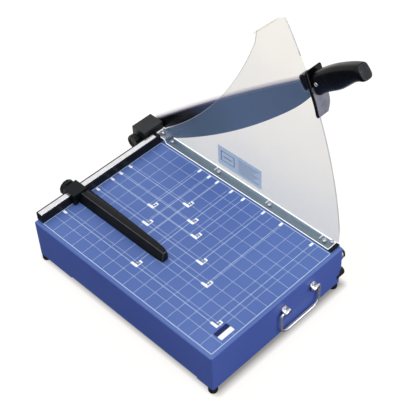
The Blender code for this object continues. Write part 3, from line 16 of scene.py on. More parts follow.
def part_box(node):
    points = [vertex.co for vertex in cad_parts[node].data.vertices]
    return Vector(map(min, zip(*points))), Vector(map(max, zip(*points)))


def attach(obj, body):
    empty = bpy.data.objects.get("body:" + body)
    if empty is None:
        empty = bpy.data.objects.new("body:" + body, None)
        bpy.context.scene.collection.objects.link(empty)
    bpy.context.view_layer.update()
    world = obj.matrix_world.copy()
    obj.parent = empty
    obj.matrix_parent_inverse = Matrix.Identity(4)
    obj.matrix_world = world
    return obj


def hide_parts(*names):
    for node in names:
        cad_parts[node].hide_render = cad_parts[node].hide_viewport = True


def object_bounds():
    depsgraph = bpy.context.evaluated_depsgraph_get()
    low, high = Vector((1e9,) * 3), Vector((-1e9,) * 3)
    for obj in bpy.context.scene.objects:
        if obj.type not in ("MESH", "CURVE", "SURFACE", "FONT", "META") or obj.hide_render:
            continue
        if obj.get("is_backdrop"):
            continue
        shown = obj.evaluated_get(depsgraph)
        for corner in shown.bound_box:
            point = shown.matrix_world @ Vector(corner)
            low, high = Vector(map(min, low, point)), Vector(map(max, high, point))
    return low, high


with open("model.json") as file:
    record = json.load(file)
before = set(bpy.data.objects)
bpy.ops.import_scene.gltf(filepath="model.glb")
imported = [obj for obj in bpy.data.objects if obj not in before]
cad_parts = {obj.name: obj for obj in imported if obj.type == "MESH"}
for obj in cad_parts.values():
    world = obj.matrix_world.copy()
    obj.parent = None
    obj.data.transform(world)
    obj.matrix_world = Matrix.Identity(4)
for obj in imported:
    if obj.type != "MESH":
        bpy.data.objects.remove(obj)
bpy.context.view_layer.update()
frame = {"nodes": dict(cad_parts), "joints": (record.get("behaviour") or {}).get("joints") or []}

# %% [markdown]
# ## Where things are
# The print, the guard and the handle need three datums: the cut edge, the front of the back rail
# and the top of the bed. They could be typed in, but a number copied by hand can go stale, so they
# are read off the frame's joints and boxes.

# %% Datums read off the frame
joints = {joint["name"]: joint for joint in frame["joints"]}
PIVOT = np.array(joints["lever_swing"]["pos_m"])
BAIL_PIVOT = np.array(joints["bail_swing"]["pos_m"])
HOUSING_LOW, HOUSING_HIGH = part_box("base_housing")
CUT_EDGE = PIVOT[0]
RAIL_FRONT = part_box("back_rail")[0].y
BED_TOP = HOUSING_HIGH.z
MM = 0.001
print("cut edge, rail front, bed top", round(CUT_EDGE, 5), round(RAIL_FRONT, 5), round(BED_TOP, 5))

# %% [markdown]
# ## Tools for finishes
# A finish is a small net of nodes: a noise breaks up the colour, another the roughness, and a fine
# one makes the surface's relief. The light is a net too. Writing each by hand would hide what
# differs between them, so a few helpers add one node each and hand back its output.


# %% Node helpers
EDGE_SAMPLES = 6


def srgb(red, green, blue):
    """A colour picked as 0 to 255 a channel, as the linear values that shaders work with."""
    share = np.array([red, green, blue]) / 255
    linear = np.where(share > 0.04045, ((share + 0.055) / 1.055) ** 2.4, share / 12.92)
    return (*linear.tolist(), 1.0)


def new_finish(name, roughness=0.4, metallic=0.0, specular=0.5):
    """A material with its node tree and its Principled shader."""
    material = bpy.data.materials.new(name + "_finish")
    material.use_nodes = True
    shader = material.node_tree.nodes["Principled BSDF"]
    shader.inputs["Roughness"].default_value = roughness
    shader.inputs["Metallic"].default_value = metallic
    shader.inputs["Specular IOR Level"].default_value = specular
    return material, material.node_tree, shader


def plug(tree, socket, value):
    """Links an output to a socket, or sets the socket to a plain value."""
    if isinstance(value, bpy.types.NodeSocket):
        tree.links.new(value, socket)
    else:
        socket.default_value = value


def add_node(tree, kind, inputs=()):
    """A shader node whose inputs are given by name or by number."""
    node = tree.nodes.new("ShaderNode" + kind)
    for socket, value in dict(inputs).items():
        plug(tree, node.inputs[socket], value)
    return node


def maths(tree, operation, *values):
    """One Math node."""
    node = add_node(tree, "Math", enumerate(values))
    node.operation = operation
    return node.outputs[0]


def vector_maths(tree, operation, *values, output="Vector"):
    """One Vector Math node; a length or a dot product comes out as its Value."""
    node = add_node(tree, "VectorMath", enumerate(values))
    node.operation = operation
    return node.outputs[output]


def blend(tree, factor, first, second):
    """A colour between two others."""
    node = tree.nodes.new("ShaderNodeMix")
    node.data_type = "RGBA"
    for socket, value in (("Factor", factor), ("A", first), ("B", second)):
        plug(tree, node.inputs[socket], value)
    return node.outputs["Result"]


def place_of(tree, scale=(1, 1, 1)):
    """Object coordinates in metres, stretched along each axis."""
    place = add_node(tree, "TexCoord").outputs["Object"]
    return add_node(tree, "Mapping", {"Vector": place, "Scale": scale}).outputs["Vector"]


def part_of(tree, vector, axis):
    """One coordinate of a vector."""
    return add_node(tree, "SeparateXYZ", {"Vector": vector}).outputs[axis]


def noise(tree, place, scale, detail=3.0):
    """Noise of about 1 / scale metres a blotch."""
    return add_node(tree, "TexNoise", {"Vector": place, "Scale": scale, "Detail": detail}).outputs["Fac"]


def spread(tree, factor, low, high, start=0.35, end=0.65):
    """Maps a factor from start..end to low..high, and holds it there beyond them."""
    names = ("Value", "From Min", "From Max", "To Min", "To Max")
    return add_node(tree, "MapRange", zip(names, (factor, start, end, low, high))).outputs["Result"]


def shades(tree, factor, first, second, start=0.35, end=0.65, between=()):
    """A colour that goes from the first to the second as the factor goes from start to end.

    Colours are 0 to 255 a channel. Further stops between the two are given as (place, colour).
    """
    ramp = add_node(tree, "ValToRGB", {"Fac": factor})
    stops = ramp.color_ramp.elements
    stops[0].position, stops[0].color = start, srgb(*first)
    stops[1].position, stops[1].color = end, srgb(*second)
    for place, colour in between:
        stops.new(place).color = srgb(*colour)
    return ramp.outputs["Color"]


def relief(tree, height, depth, edge):
    """A normal for a height of so many metres, over edges that look rounded to a radius."""
    bevel = add_node(tree, "Bevel", {"Radius": edge})
    bevel.samples = EDGE_SAMPLES
    inputs = {"Distance": depth, "Height": height, "Normal": bevel.outputs["Normal"]}
    return add_node(tree, "Bump", inputs).outputs["Normal"]


def wire_up(tree, shader, colour, roughness, normal):
    """Feeds a shader's colour, roughness and normal."""
    for name, output in (("Base Color", colour), ("Roughness", roughness), ("Normal", normal)):
        tree.links.new(output, shader.inputs[name])


# %% [markdown]
# ## Camera, light and floor
# The picture is of a cutter on a white table, seen from its front left corner and from high up.
# The camera's place and turn were worked out from the 25 mm squares of the printed grid.

# %% Camera
CAMERA_PLACE = (-0.81343, -0.92556, 1.39419)
CAMERA_TURN = (44.7614, 2.5237, -45.0467)
CAMERA_LENS = 96.27


def put_in_room(name, data):
    """A new object in the scene."""
    thing = bpy.data.objects.new(name, data)
    bpy.context.scene.collection.objects.link(thing)
    return thing


camera_data = bpy.data.cameras.new("camera")
camera_data.sensor_width = 36
camera_data.lens = CAMERA_LENS
camera_data.clip_end = 20
camera = put_in_room("camera", camera_data)
camera.location = CAMERA_PLACE
camera.rotation_euler = np.radians(CAMERA_TURN)
bpy.context.scene.camera = camera
bpy.context.scene.view_settings.view_transform = "Standard"

# %% [markdown]
# The light is a pale dome with one large soft lamp above and a weaker one in front, so that upright
# faces come out about half as bright as the bed. The background has to be white without more light
# on the object: Light Path tells which rays come from the camera, from gloss or through the clear
# sheet, and only those see the plain white.


# %% World and lamps
def seen_directly(tree):
    """1 for rays from the camera, off a gloss or through a clear sheet, 0 for diffuse light."""
    rays = add_node(tree, "LightPath").outputs
    either = maths(tree, "MAXIMUM", rays["Is Camera Ray"], rays["Is Glossy Ray"])
    return maths(tree, "MAXIMUM", either, rays["Is Transmission Ray"])


def soft_lamp(name, place, aim, size, watts):
    """A square area lamp that faces a point."""
    data = bpy.data.lights.new(name, "AREA")
    data.size = size
    data.energy = watts
    lamp = put_in_room(name, data)
    lamp.location = place
    lamp.rotation_euler = (Vector(aim) - Vector(place)).to_track_quat("-Z", "Y").to_euler()


DOME_LIGHT = 0.55
world = bpy.data.worlds.new("studio")
world.use_nodes = True
bpy.context.scene.world = world
tree = world.node_tree
dome = tree.nodes["Background"]
dome.inputs["Strength"].default_value = DOME_LIGHT
dome.inputs["Color"].default_value = (1, 1, 1, 1)
white = add_node(tree, "Background", {"Color": (1, 1, 1, 1)})
choice = add_node(tree, "MixShader", {0: seen_directly(tree), 1: dome.outputs[0], 2: white.outputs[0]})
tree.links.new(choice.outputs[0], tree.nodes["World Output"].inputs["Surface"])

soft_lamp("overhead_lamp", (-0.4, 0.3, 2.3), (0, 0, 0), 1.8, 25)
soft_lamp("front_lamp", (0.7, -2.1, 0.9), (0, 0, 0.1), 1.2, 13)

# %% [markdown]
# White paper round the cutter is lit so brightly that only the thin shadow at the foot of the walls
# keeps its grey. A floor that takes light alone would be grey all over, so it glows as well, and the
# glow is strong a finger's width away from the walls and weak at their foot.

# %% Floor
FLOOR_SIZE = 8.0
FLOOR_UNSEEN = (0.3, 0.3, 0.3, 1)
FLOOR_SEEN = (0.24, 0.22, 0.185, 1)
GLOW_AT_WALL, GLOW_IN_OPEN, GLOW_RISE = 0.22, 0.84, 0.015
# The patch without much glow stays inside the housing's sides, so that the shadow shows narrow.
PATCH_LOW = (HOUSING_LOW.x + 0.011, HOUSING_LOW.y + 0.002)
PATCH_HIGH = (HOUSING_HIGH.x - 0.002, HOUSING_HIGH.y - 0.004)


def floor_sheet(name, low, high, z, material):
    """One flat face that belongs to the room, from its low and high corner."""
    mesh = bpy.data.meshes.new(name)
    corners = [(low[0], low[1], z), (high[0], low[1], z), (high[0], high[1], z), (low[0], high[1], z)]
    mesh.from_pydata(corners, [], [(0, 1, 2, 3)])
    mesh.materials.append(material)
    sheet = put_in_room(name, mesh)
    sheet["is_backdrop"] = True
    return sheet


def white_floor():
    """A white floor that keeps the cutter's shadow.

    Its glow grows with the distance d from the patch: d is the length of max(|p - c| - h, 0) for the
    patch's centre c and half size h.
    """
    paint, tree, shader = new_finish("white_floor", roughness=1.0, specular=0.0)
    seen = seen_directly(tree)
    plug(tree, shader.inputs["Base Color"], blend(tree, seen, FLOOR_UNSEEN, FLOOR_SEEN))
    centre = [(low + high) / 2 for low, high in zip(PATCH_LOW, PATCH_HIGH)] + [0]
    half = [(high - low) / 2 for low, high in zip(PATCH_LOW, PATCH_HIGH)] + [0]
    place = add_node(tree, "TexCoord").outputs["Object"]
    offset = vector_maths(tree, "ABSOLUTE", vector_maths(tree, "SUBTRACT", place, centre))
    outside = vector_maths(tree, "MAXIMUM", vector_maths(tree, "SUBTRACT", offset, half), (0, 0, 0))
    distance = vector_maths(tree, "LENGTH", outside, output="Value")
    # Painted shade: the weak glow near the walls darkens a band round the housing, whether or not a shadow falls
    # there.
    glow = spread(tree, distance, GLOW_AT_WALL, GLOW_IN_OPEN, 0.0, GLOW_RISE)
    shader.inputs["Emission Color"].default_value = (1, 1, 1, 1)
    plug(tree, shader.inputs["Emission Strength"], maths(tree, "MULTIPLY", seen, glow))
    return floor_sheet("floor", (-FLOOR_SIZE / 2,) * 2, (FLOOR_SIZE / 2,) * 2, 0, paint)


white_floor()

# %% [markdown]
# Chrome and gloss paint show their surroundings. In an all-white room chrome would look like white
# plastic, and the blue walls would turn pale. Photographers lay black cards round the object. The
# cards here are seen by glossy rays alone, so they take no light away.


# %% Black cards
def black_card(name, low, high):
    """A black card on the floor that only reflections see."""
    black, _, shader = new_finish(name, roughness=0.5)
    shader.inputs["Base Color"].default_value = (0.01, 0.01, 0.012, 1)
    card = floor_sheet(name, low, high, 0.001, black)
    card.visible_camera = card.visible_diffuse = card.visible_transmission = card.visible_shadow = False


black_card("front_floor_card", (-1.5, -1.6), (1.5, HOUSING_LOW.y))
black_card("left_floor_card", (-1.5, HOUSING_LOW.y), (HOUSING_LOW.x, 1.0))

# %% [markdown]
# ## Painted and moulded finishes
# The bed is sprayed with a hard blue enamel. Its film isn't flat: it has a faint orange peel a
# millimetre or two wide. The rail and the block are black satin paint on metal, and the handle, the
# knobs and the gauge are black plastic with a fine moulded grain.


# %% Enamel, black paint, black plastic and rubber
def blue_enamel():
    """Blue gloss paint, painted paler on the faces that look up: painted light for a top lit from above."""
    material, tree, shader = new_finish("enamel", specular=0.3)
    place = place_of(tree)
    cloud = noise(tree, place, 4.0, 2.0)
    # Painted light: faces that look up take the paler bed colours, upright faces the darker wall colours.
    upward_light = part_of(tree, add_node(tree, "NewGeometry").outputs["Normal"], "Z")
    walls = shades(tree, cloud, (80, 103, 190), (86, 110, 196))
    bed = shades(tree, cloud, (82, 108, 174), (91, 118, 184))
    colour = blend(tree, spread(tree, upward_light, 0.0, 1.0, 0.2, 0.95), walls, bed)
    roughness = spread(tree, noise(tree, place, 26.0), 0.30, 0.40)
    peel = noise(tree, place, 520.0, 1.0)
    wire_up(tree, shader, colour, roughness, relief(tree, peel, 0.00003, 0.002))
    return material


def grained(name, first, second, low, high, scale, depth, edge, specular):
    """A finish with blotches of colour and roughness, a fine grain and softened edges."""
    material, tree, shader = new_finish(name, specular=specular)
    place = place_of(tree)
    colour = shades(tree, noise(tree, place, 60.0), first, second)
    roughness = spread(tree, noise(tree, place, 130.0), low, high)
    grain = noise(tree, place, scale, 4.0)
    wire_up(tree, shader, colour, roughness, relief(tree, grain, depth, edge))
    return material


# Each row: two shades, least and most roughness, grain scale, depth and edge radius, specular.
FINISHES = {"enamel": blue_enamel()}
for row in (
    ("black_metal", (12, 13, 16), (18, 19, 22), 0.30, 0.42, 900, 0.00003, 0.0008, 0.22),
    ("cast_block", (26, 29, 32), (35, 39, 42), 0.34, 0.46, 700, 0.00006, 0.0008, 0.3),
    ("black_plastic", (10, 12, 14), (16, 18, 21), 0.30, 0.42, 1400, 0.00004, 0.0010, 0.15),
    ("moulding", (9, 10, 12), (14, 15, 18), 0.20, 0.28, 1600, 0.00002, 0.0012, 0.2),
    ("painted_highlight_edge", (62, 60, 66), (88, 84, 90), 0.26, 0.36, 900, 0.00003, 0.0004, 0.5),
    ("sheen_grey_moulding", (132, 134, 150), (150, 152, 168), 0.24, 0.34, 1600, 0.00002, 0.0008, 0.5),
    ("sheen_ribbed_end", (26, 27, 34), (34, 35, 43), 0.24, 0.34, 1600, 0.00002, 0.0008, 0.35),
    ("rubber", (18, 18, 19), (27, 27, 28), 0.65, 0.85, 700, 0.00008, 0.0008, 0.3),
):
    FINISHES[row[0]] = grained(*row)

# %% [markdown]
# ## Bare metals
# Chrome is nearly a mirror, zinc plate is a little cloudy, and ground steel shows fine lines along
# the way the wheel ran. A stretched noise gives such lines: the coordinates are multiplied by a
# large number across the lines and by a small one along them.


# %% Chrome, zinc, ground steel and bronze
def metal(name, first, second, low, high, scale, stretch=(1, 1, 1), metallic=1.0):
    """A metal whose blotches, or lines where the stretch differs by axis, vary its colour and gloss."""
    material, tree, shader = new_finish(name, metallic=metallic)
    marks = noise(tree, place_of(tree, stretch), scale)
    colour = shades(tree, marks, first, second)
    wire_up(tree, shader, colour, spread(tree, marks, low, high), relief(tree, marks, 0.000004, 0.0006))
    return material


GROUND_ALONG_Y = (1, 0.02, 1)
for row in (
    ("pressed_chrome", (196, 196, 200), (226, 226, 230), 0.10, 0.20, 160.0),
    ("zinc_steel", (186, 187, 196), (208, 208, 216), 0.24, 0.40, 420.0),
    ("tool_steel", (160, 165, 170), (190, 194, 198), 0.20, 0.34, 1500.0, GROUND_ALONG_Y),
    ("strip_metal", (122, 138, 142), (138, 154, 158), 0.34, 0.46, 900.0, GROUND_ALONG_Y),
    ("bronze", (160, 120, 70), (188, 148, 96), 0.32, 0.48, 300.0),
    ("chrome", (226, 226, 230), (240, 240, 242), 0.07, 0.15, 90.0, (1, 1, 1), 0.7),
):
    FINISHES[row[0]] = metal(*row)


# %% [markdown]
# ## Blade and arm
# The blade is dark steel, nearly black at the heel and bluer towards the nose: the blue is painted
# reflection of the bed. The arm above it is satin aluminium with painted light: a painted highlight
# makes its round crown white, and painted shade darkens it where it meets the blade. Both fades
# follow the lever, so they need its own directions: the reach along it and the rise square to it,
# found from the place of a point about the pivot.

# %% Lever directions and finishes
REST = np.radians(41.0)
ALONG_LEVER = np.array([0, -np.cos(REST), np.sin(REST)])
UP_LEVER = np.array([0, np.sin(REST), np.cos(REST)])
LINE_STRETCH = 30


def about_lever(tree):
    """Reach and rise of a point, in mm: its distances from the pivot along and across the lever."""
    place = add_node(tree, "TexCoord").outputs["Object"]
    offset = vector_maths(tree, "SUBTRACT", place, PIVOT)
    ways = (ALONG_LEVER / MM, UP_LEVER / MM)
    return [vector_maths(tree, "DOT_PRODUCT", offset, way, output="Value") for way in ways]


def lines_on(tree, reach, rise):
    """Coordinates in metres, squeezed along the lever so that noise draws lines on it."""
    along = maths(tree, "MULTIPLY", reach, MM / LINE_STRETCH)
    across = maths(tree, "MULTIPLY", rise, MM)
    return add_node(tree, "CombineXYZ", {"X": along, "Y": across}).outputs["Vector"]


def blade_steel():
    """Dark steel with fine scratches along the blade, and a painted reflection that makes it bluer towards the nose.
    """
    material, tree, shader = new_finish("blade_steel", specular=0.2)
    reach, rise = about_lever(tree)
    marks = noise(tree, lines_on(tree, reach, rise), 900.0)
    # Painted reflection: the bed's blue, stronger towards the nose.
    blue = spread(tree, reach, 0.0, 1.0, 115.0, 255.0)
    reflection_tint = maths(tree, "ADD", blue, spread(tree, marks, -0.06, 0.06))
    colour = shades(tree, reflection_tint, (5, 6, 8), (90, 111, 156), 0.0, 1.0)
    wire_up(tree, shader, colour, spread(tree, marks, 0.26, 0.38), relief(tree, marks, 0.000006, 0.0004))
    return material


def arm_metal():
    """Satin aluminium with painted light: a painted highlight makes the crown white, painted shade the foot dark.

    The foot is the blade's upper edge, whose rise is 10 + 0.0025 r - 0.00009 r^2 mm at reach r. The
    right side, away from the blade, stays pale.
    """
    material, tree, shader = new_finish("arm_metal", specular=0.25)
    reach, rise = about_lever(tree)
    square = maths(tree, "MULTIPLY", reach, reach)
    foot = maths(tree, "MULTIPLY_ADD", square, -0.00009, maths(tree, "MULTIPLY_ADD", reach, 0.0025, 10.0))
    above = maths(tree, "SUBTRACT", rise, foot)
    lines = noise(tree, lines_on(tree, reach, rise), 1200.0)
    # Painted light: dark at the blade's upper edge, white with painted highlight 6 mm above it.
    crown_light = maths(tree, "ADD", spread(tree, above, 0.0, 1.0, -2.0, 6.0), spread(tree, lines, -0.03, 0.03))
    x = part_of(tree, place_of(tree), "X")
    right = spread(tree, x, 0.0, 0.5, CUT_EDGE + 0.010, CUT_EDGE + 0.015)
    crown_light = maths(tree, "MAXIMUM", crown_light, right)
    between = ((0.28, (108, 100, 130)), (0.62, (222, 213, 228)))
    colour = shades(tree, crown_light, (8, 8, 11), (253, 251, 252), 0.0, 1.0, between)
    wire_up(tree, shader, colour, spread(tree, lines, 0.30, 0.42), relief(tree, lines, 0.000004, 0.001))
    return material


FINISHES["blade_steel"] = blade_steel()
FINISHES["arm_metal"] = arm_metal()

# %% [markdown]
# ## Clear guard sheet
# The guard is a slightly smoky plastic. It dims what is behind it a little and lays a pale blue veil
# over dark things, more of it low down: partly the sheet's own haze, partly painted reflection of the
# bed. A refracting glass would need many bounces and turn dark where sheets overlap, so a tinted
# Transparent shader is mixed with a glossy one, and height sets the share.

# %% Clear sheet and its polished edges
VEIL_HEIGHTS = (0.08, 0.30, 0.48)


def clear_sheet(name, low, middle, high):
    """A tinted Transparent shader under a pale blue gloss, whose share changes between three heights."""
    material, tree, shader = new_finish(name, roughness=0.12, specular=0.4)
    shader.inputs["Base Color"].default_value = srgb(172, 204, 242)
    place = place_of(tree)
    height = part_of(tree, place, "Z")
    # The veil's share by height is partly the sheet's own haze, partly painted reflection of the bed, more of it low
    # down.
    first = spread(tree, height, low, middle, *VEIL_HEIGHTS[:2])
    veil = maths(tree, "ADD", first, spread(tree, height, 0.0, high - middle, *VEIL_HEIGHTS[1:]))
    haze = spread(tree, noise(tree, place, 7.0, 2.0), -0.012, 0.012)
    through = add_node(tree, "BsdfTransparent", {"Color": srgb(252, 250, 247)})
    share = maths(tree, "ADD", veil, haze)
    mix = add_node(tree, "MixShader", {0: share, 1: through.outputs[0], 2: shader.outputs[0]})
    tree.links.new(mix.outputs[0], tree.nodes["Material Output"].inputs["Surface"])
    return material


def sheet_edge(name, alpha):
    """The sawn and polished edge, with a painted glow and highlight that is strongest low down."""
    material, tree, shader = new_finish(name, roughness=0.2)
    place = place_of(tree)
    colour = shades(tree, noise(tree, place, 40.0), (206, 206, 216), (228, 228, 236))
    tree.links.new(colour, shader.inputs["Base Color"])
    shader.inputs["Emission Color"].default_value = (1, 1, 1, 1)
    # Painted glow: the edge gives off light below 0.10 m, fading out by 0.13 m.
    glow = spread(tree, part_of(tree, place, "Z"), 0.9, 0.0, 0.10, 0.13)
    tree.links.new(glow, shader.inputs["Emission Strength"])
    shader.inputs["Alpha"].default_value = alpha
    return material


FINISHES["clear_sheet"] = clear_sheet("clear_sheet", 0.26, 0.13, 0.05)
FINISHES["flange_sheet"] = clear_sheet("flange_sheet", 0.09, 0.09, 0.09)
for name, alpha in (("sheet_edge", 0.95), ("dull_edge", 0.15), ("edge_line", 0.5)):
    FINISHES[name] = sheet_edge(name, alpha)

# %% [markdown]
# The frame's materials are plain colours that carry the names of the record's finishes. Each slot
# is given the new finish of the same name, except that the pivot block gets the cast block's finish,
# and the count of dressed slots is printed.

# %% Dress the CAD nodes
dressed = 0
for name, node in frame["nodes"].items():
    for slot in node.material_slots:
        finish = "cast_block" if name == "pivot_block" else slot.material.name.split(".")[0]
        slot.material = FINISHES[finish]
        dressed += 1
print("dressed", dressed, "slots of", len(frame["nodes"]), "nodes")

# %% [markdown]
# ## Tools for shapes
# New pieces are surfaces: arrays of points with one row per station and one column per point of a
# section. The faces come from the point numbers alone, so the same function skins them all.


# %% Skins, slabs and pieces
def settle(work, mesh):
    """Merges doubled points, turns the faces outwards and writes the result into a mesh."""
    bmesh.ops.remove_doubles(work, verts=work.verts, dist=1e-6)
    bmesh.ops.recalc_face_normals(work, faces=work.faces)
    work.to_mesh(mesh)
    work.free()


def skin(name, grid, wrap=True, smooth=40.0):
    """Faces over grid[row, column, xyz].

    Point (i, j) has number n = i * columns + j, and each quad joins n, its right neighbour and the
    two above. With wrap the last column meets the first, and both end rows are closed by one face.
    """
    rows, columns = grid.shape[:2]
    numbers = np.arange(rows * columns).reshape(rows, columns)
    if wrap:
        numbers = np.column_stack([numbers, numbers[:, :1]])
    corners = (numbers[:-1, :-1], numbers[:-1, 1:], numbers[1:, 1:], numbers[1:, :-1])
    faces = np.stack(corners, axis=-1).reshape(-1, 4).tolist()
    if wrap:
        faces += [numbers[0, :-1].tolist(), numbers[-1, :-1].tolist()]
    mesh = bpy.data.meshes.new(name)
    mesh.from_pydata(grid.reshape(-1, 3), [], faces)
    work = bmesh.new()
    work.from_mesh(mesh)
    settle(work, mesh)
    mesh.shade_smooth()
    mesh.set_sharp_from_angle(angle=np.radians(smooth))
    return mesh


def xyz(x, y, z):
    """Points from their coordinates, any of which may be one value for all."""
    return np.stack(np.broadcast_arrays(x, y, z), axis=-1)


def slabs(name, low, high):
    """Closed boxes from arrays of low and high corners.

    Corner k takes the low or the high value of each axis by the three bits of k.
    """
    bits = np.array([[k >> axis & 1 for axis in range(3)] for k in range(8)])
    corners = np.where(bits[None] == 1, high[:, None], low[:, None]).reshape(-1, 3)
    sides = np.array([[0, 2, 3, 1], [4, 5, 7, 6], [0, 1, 5, 4], [2, 6, 7, 3], [0, 4, 6, 2], [1, 3, 7, 5]])
    faces = (np.arange(len(low))[:, None, None] * 8 + sides).reshape(-1, 4)
    mesh = bpy.data.meshes.new(name)
    mesh.from_pydata(corners, [], faces)
    return mesh


def add_piece(name, mesh, finish, body, replaces=()):
    """A new object that rides on a body and may stand for CAD nodes."""
    piece = put_in_room(name, mesh)
    mesh.materials.clear()
    mesh.materials.append(finish)
    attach(piece, body)
    if replaces:
        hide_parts(*replaces)
    print(name, len(mesh.polygons), "faces")
    return piece


def add_skin(name, grid, finish, body, replaces=(), smooth=50.0):
    """A piece whose closed skin goes over a grid of points."""
    return add_piece(name, skin(name, grid, smooth=smooth), FINISHES[finish], body, replaces)


def paint_faces(mesh, finishes, numbers):
    """Further finishes for a mesh, and for each face its number among them; 0 is the first one."""
    for finish in finishes:
        mesh.materials.append(FINISHES[finish])
    mesh.polygons.foreach_set("material_index", numbers.astype(np.int32))


def plain(name, first, second, scale=160.0, roughness=0.4, specular=0.5, glow=0.0):
    """A finish of two close shades, which may give off a little light."""
    material, tree, shader = new_finish(name, roughness=roughness, specular=specular)
    tree.links.new(shades(tree, noise(tree, place_of(tree), scale), first, second), shader.inputs["Base Color"])
    shader.inputs["Emission Color"].default_value = srgb(*first)
    shader.inputs["Emission Strength"].default_value = glow
    return material


# %% [markdown]
# ## The printed bed
# White ink marks 25 mm squares, and the standard paper formats: a line from a tick at the rail and
# one from a tick at the cut edge meet in an angle at the sheet's far corner, with the format's name
# beside it. A shader could draw the lines, but at a 1 mm width they would blur when it is baked, so
# they are slabs of ink a twentieth of a millimetre thick.

# %% Ink
INK_PROUD = 0.00005
INK_SUNK = 0.00002
PALE_INK = (214, 234, 252), (226, 242, 255)
WHITE_INK = (246, 250, 255), (250, 253, 255)
# Painted light: the white ink of the ticks and name boxes glows a little on its own.
INK_GLOW = 0.2
THIN, MIDDLING, STRONG = 0.36, 0.60, 0.86
GRID_STEP, GRID_RIGHT, GRID_LEFT, GRID_FRONT = 25, 25, 300, 400
LINE_BACK = 0.5


def on_bed(name, rectangles, bottom, top):
    """Slabs from rows of (left, right, back, front), in mm from the cut edge and from the rail."""
    left, right, back, front = np.array(rectangles, float).T * MM
    low, high = xyz(CUT_EDGE - left, RAIL_FRONT - front, bottom), xyz(CUT_EDGE - right, RAIL_FRONT - back, top)
    return slabs(name, low, high)


def printed(name, colours, rectangles, ink_glow=0.0):
    """A piece of print in one ink, given by the two shades of its blotches.

    The ink may also glow a little on its own: painted light that keeps it white where less light falls.
    """
    ink = plain(name + "_ink", *colours, 240.0, 0.5, glow=ink_glow)
    return add_piece(name, on_bed(name, rectangles, BED_TOP - INK_SUNK, BED_TOP + INK_PROUD), ink, "base")


def lines_across(places, near, far, width):
    """Rectangles for lines parallel to the rail, at distances from it."""
    places, near, far = np.broadcast_arrays(np.asarray(places, float), near, far)
    return np.stack([far, near, places - width / 2, places + width / 2], axis=-1)


def lines_along(places, back, front, width):
    """Rectangles for lines parallel to the cut edge, at distances from it."""
    places, back, front = np.broadcast_arrays(np.asarray(places, float), back, front)
    return np.stack([places + width / 2, places - width / 2, back, front], axis=-1)


squares = [
    lines_across(np.arange(GRID_STEP, GRID_FRONT, GRID_STEP), GRID_RIGHT, GRID_LEFT, THIN),
    lines_along(np.arange(2 * GRID_STEP, GRID_LEFT, GRID_STEP), LINE_BACK, GRID_FRONT, THIN),
    lines_across([1, GRID_FRONT], GRID_RIGHT, GRID_LEFT, STRONG),
    lines_along([GRID_RIGHT, GRID_LEFT], LINE_BACK, GRID_FRONT, STRONG),
]
printed("printed_squares", PALE_INK, np.concatenate(squares))

# %% [markdown]
# Each format can lie upright or across, so the same widths serve as depths. Only the angle marks of
# the cross-wise sheets that fit on the bed are printed.

# %% Format lines, ticks and angles
UPRIGHT = {"A6": (105, 148), "B6": (128, 182), "A5": (148, 210), "B5": (182, 257), "A4": (210, 297), "B4": (257, 364)}
ACROSS = {"A6": (148, 105), "B6": (182, 128), "A5": (210, 148), "B5": (257, 182)}
TICK, TICK_WIDTH, ANGLE, ANGLE_WIDTH = 8.4, 4.3, 7.8, 4.6
TICK_BACK, TICK_RIGHT = 2.0, GRID_RIGHT + 0.8

sheets = np.array([*UPRIGHT.values(), *ACROSS.values()], float)
widths = np.unique(sheets[:, 0])
depths = np.unique(sheets[:, 1])
depth_of = np.array([sheets[sheets[:, 0] == width, 1].max() for width in widths])
width_of = np.array([sheets[sheets[:, 1] == depth, 0].max() for depth in depths])
borders = [
    lines_along(widths, LINE_BACK, depth_of, MIDDLING),
    lines_across(depths, GRID_RIGHT, width_of, MIDDLING),
]
printed("printed_formats", PALE_INK, np.concatenate(borders))
ticks = [
    lines_along(widths, TICK_BACK, TICK_BACK + TICK, TICK_WIDTH),
    lines_across(depths, TICK_RIGHT, TICK_RIGHT + TICK, TICK_WIDTH),
    lines_along(sheets[:, 0], sheets[:, 1] - ANGLE, sheets[:, 1], ANGLE_WIDTH),
]
printed("printed_ticks", WHITE_INK, np.concatenate(ticks), INK_GLOW)

# %% Format names
NAME_BOX = (15.0, 7.2)
NAME_HEIGHT = 0.0072
NAME_WEIGHT = 0.045
left, back = sheets[:, 0] + ANGLE_WIDTH / 2, sheets[:, 1] - 0.4
boxes = np.stack([left, left - NAME_BOX[0], back, back + NAME_BOX[1]], axis=-1)
printed("printed_name_boxes", WHITE_INK, boxes, INK_GLOW)


def flat_words(name, words, centres, height, z):
    """One mesh of several short words, each centred on a point of the bed."""
    work = bmesh.new()
    for word, (x, y) in zip(words, centres):
        curve = bpy.data.curves.new(word, "FONT")
        curve.body = word
        curve.size = height
        curve.resolution_u = 2
        curve.extrude = INK_PROUD / 2
        curve.offset = height * NAME_WEIGHT
        curve.align_x = curve.align_y = "CENTER"
        text = put_in_room(word, curve)
        graph = bpy.context.evaluated_depsgraph_get()
        mesh = bpy.data.meshes.new_from_object(text.evaluated_get(graph))
        mesh.transform(Matrix.Translation((x, y, z)))
        work.from_mesh(mesh)
        bpy.data.objects.remove(text)
    mesh = bpy.data.meshes.new(name)
    settle(work, mesh)
    return mesh


middles = np.stack([CUT_EDGE - boxes[:, :2].mean(1) * MM + MM, RAIL_FRONT - boxes[:, 2:].mean(1) * MM], axis=-1)
words = flat_words("printed_names", [*UPRIGHT, *ACROSS], middles, NAME_HEIGHT, BED_TOP + INK_PROUD * 1.5)
blue_ink = plain("blue_ink", (16, 24, 74), (26, 36, 92), 240.0, 0.5)
add_piece("printed_names", words, blue_ink, "base")

# %% [markdown]
# A small foil plate, dark over white, is stuck on the bed at its front left. Its two halves are two
# slabs, so that the line between them stays sharp.

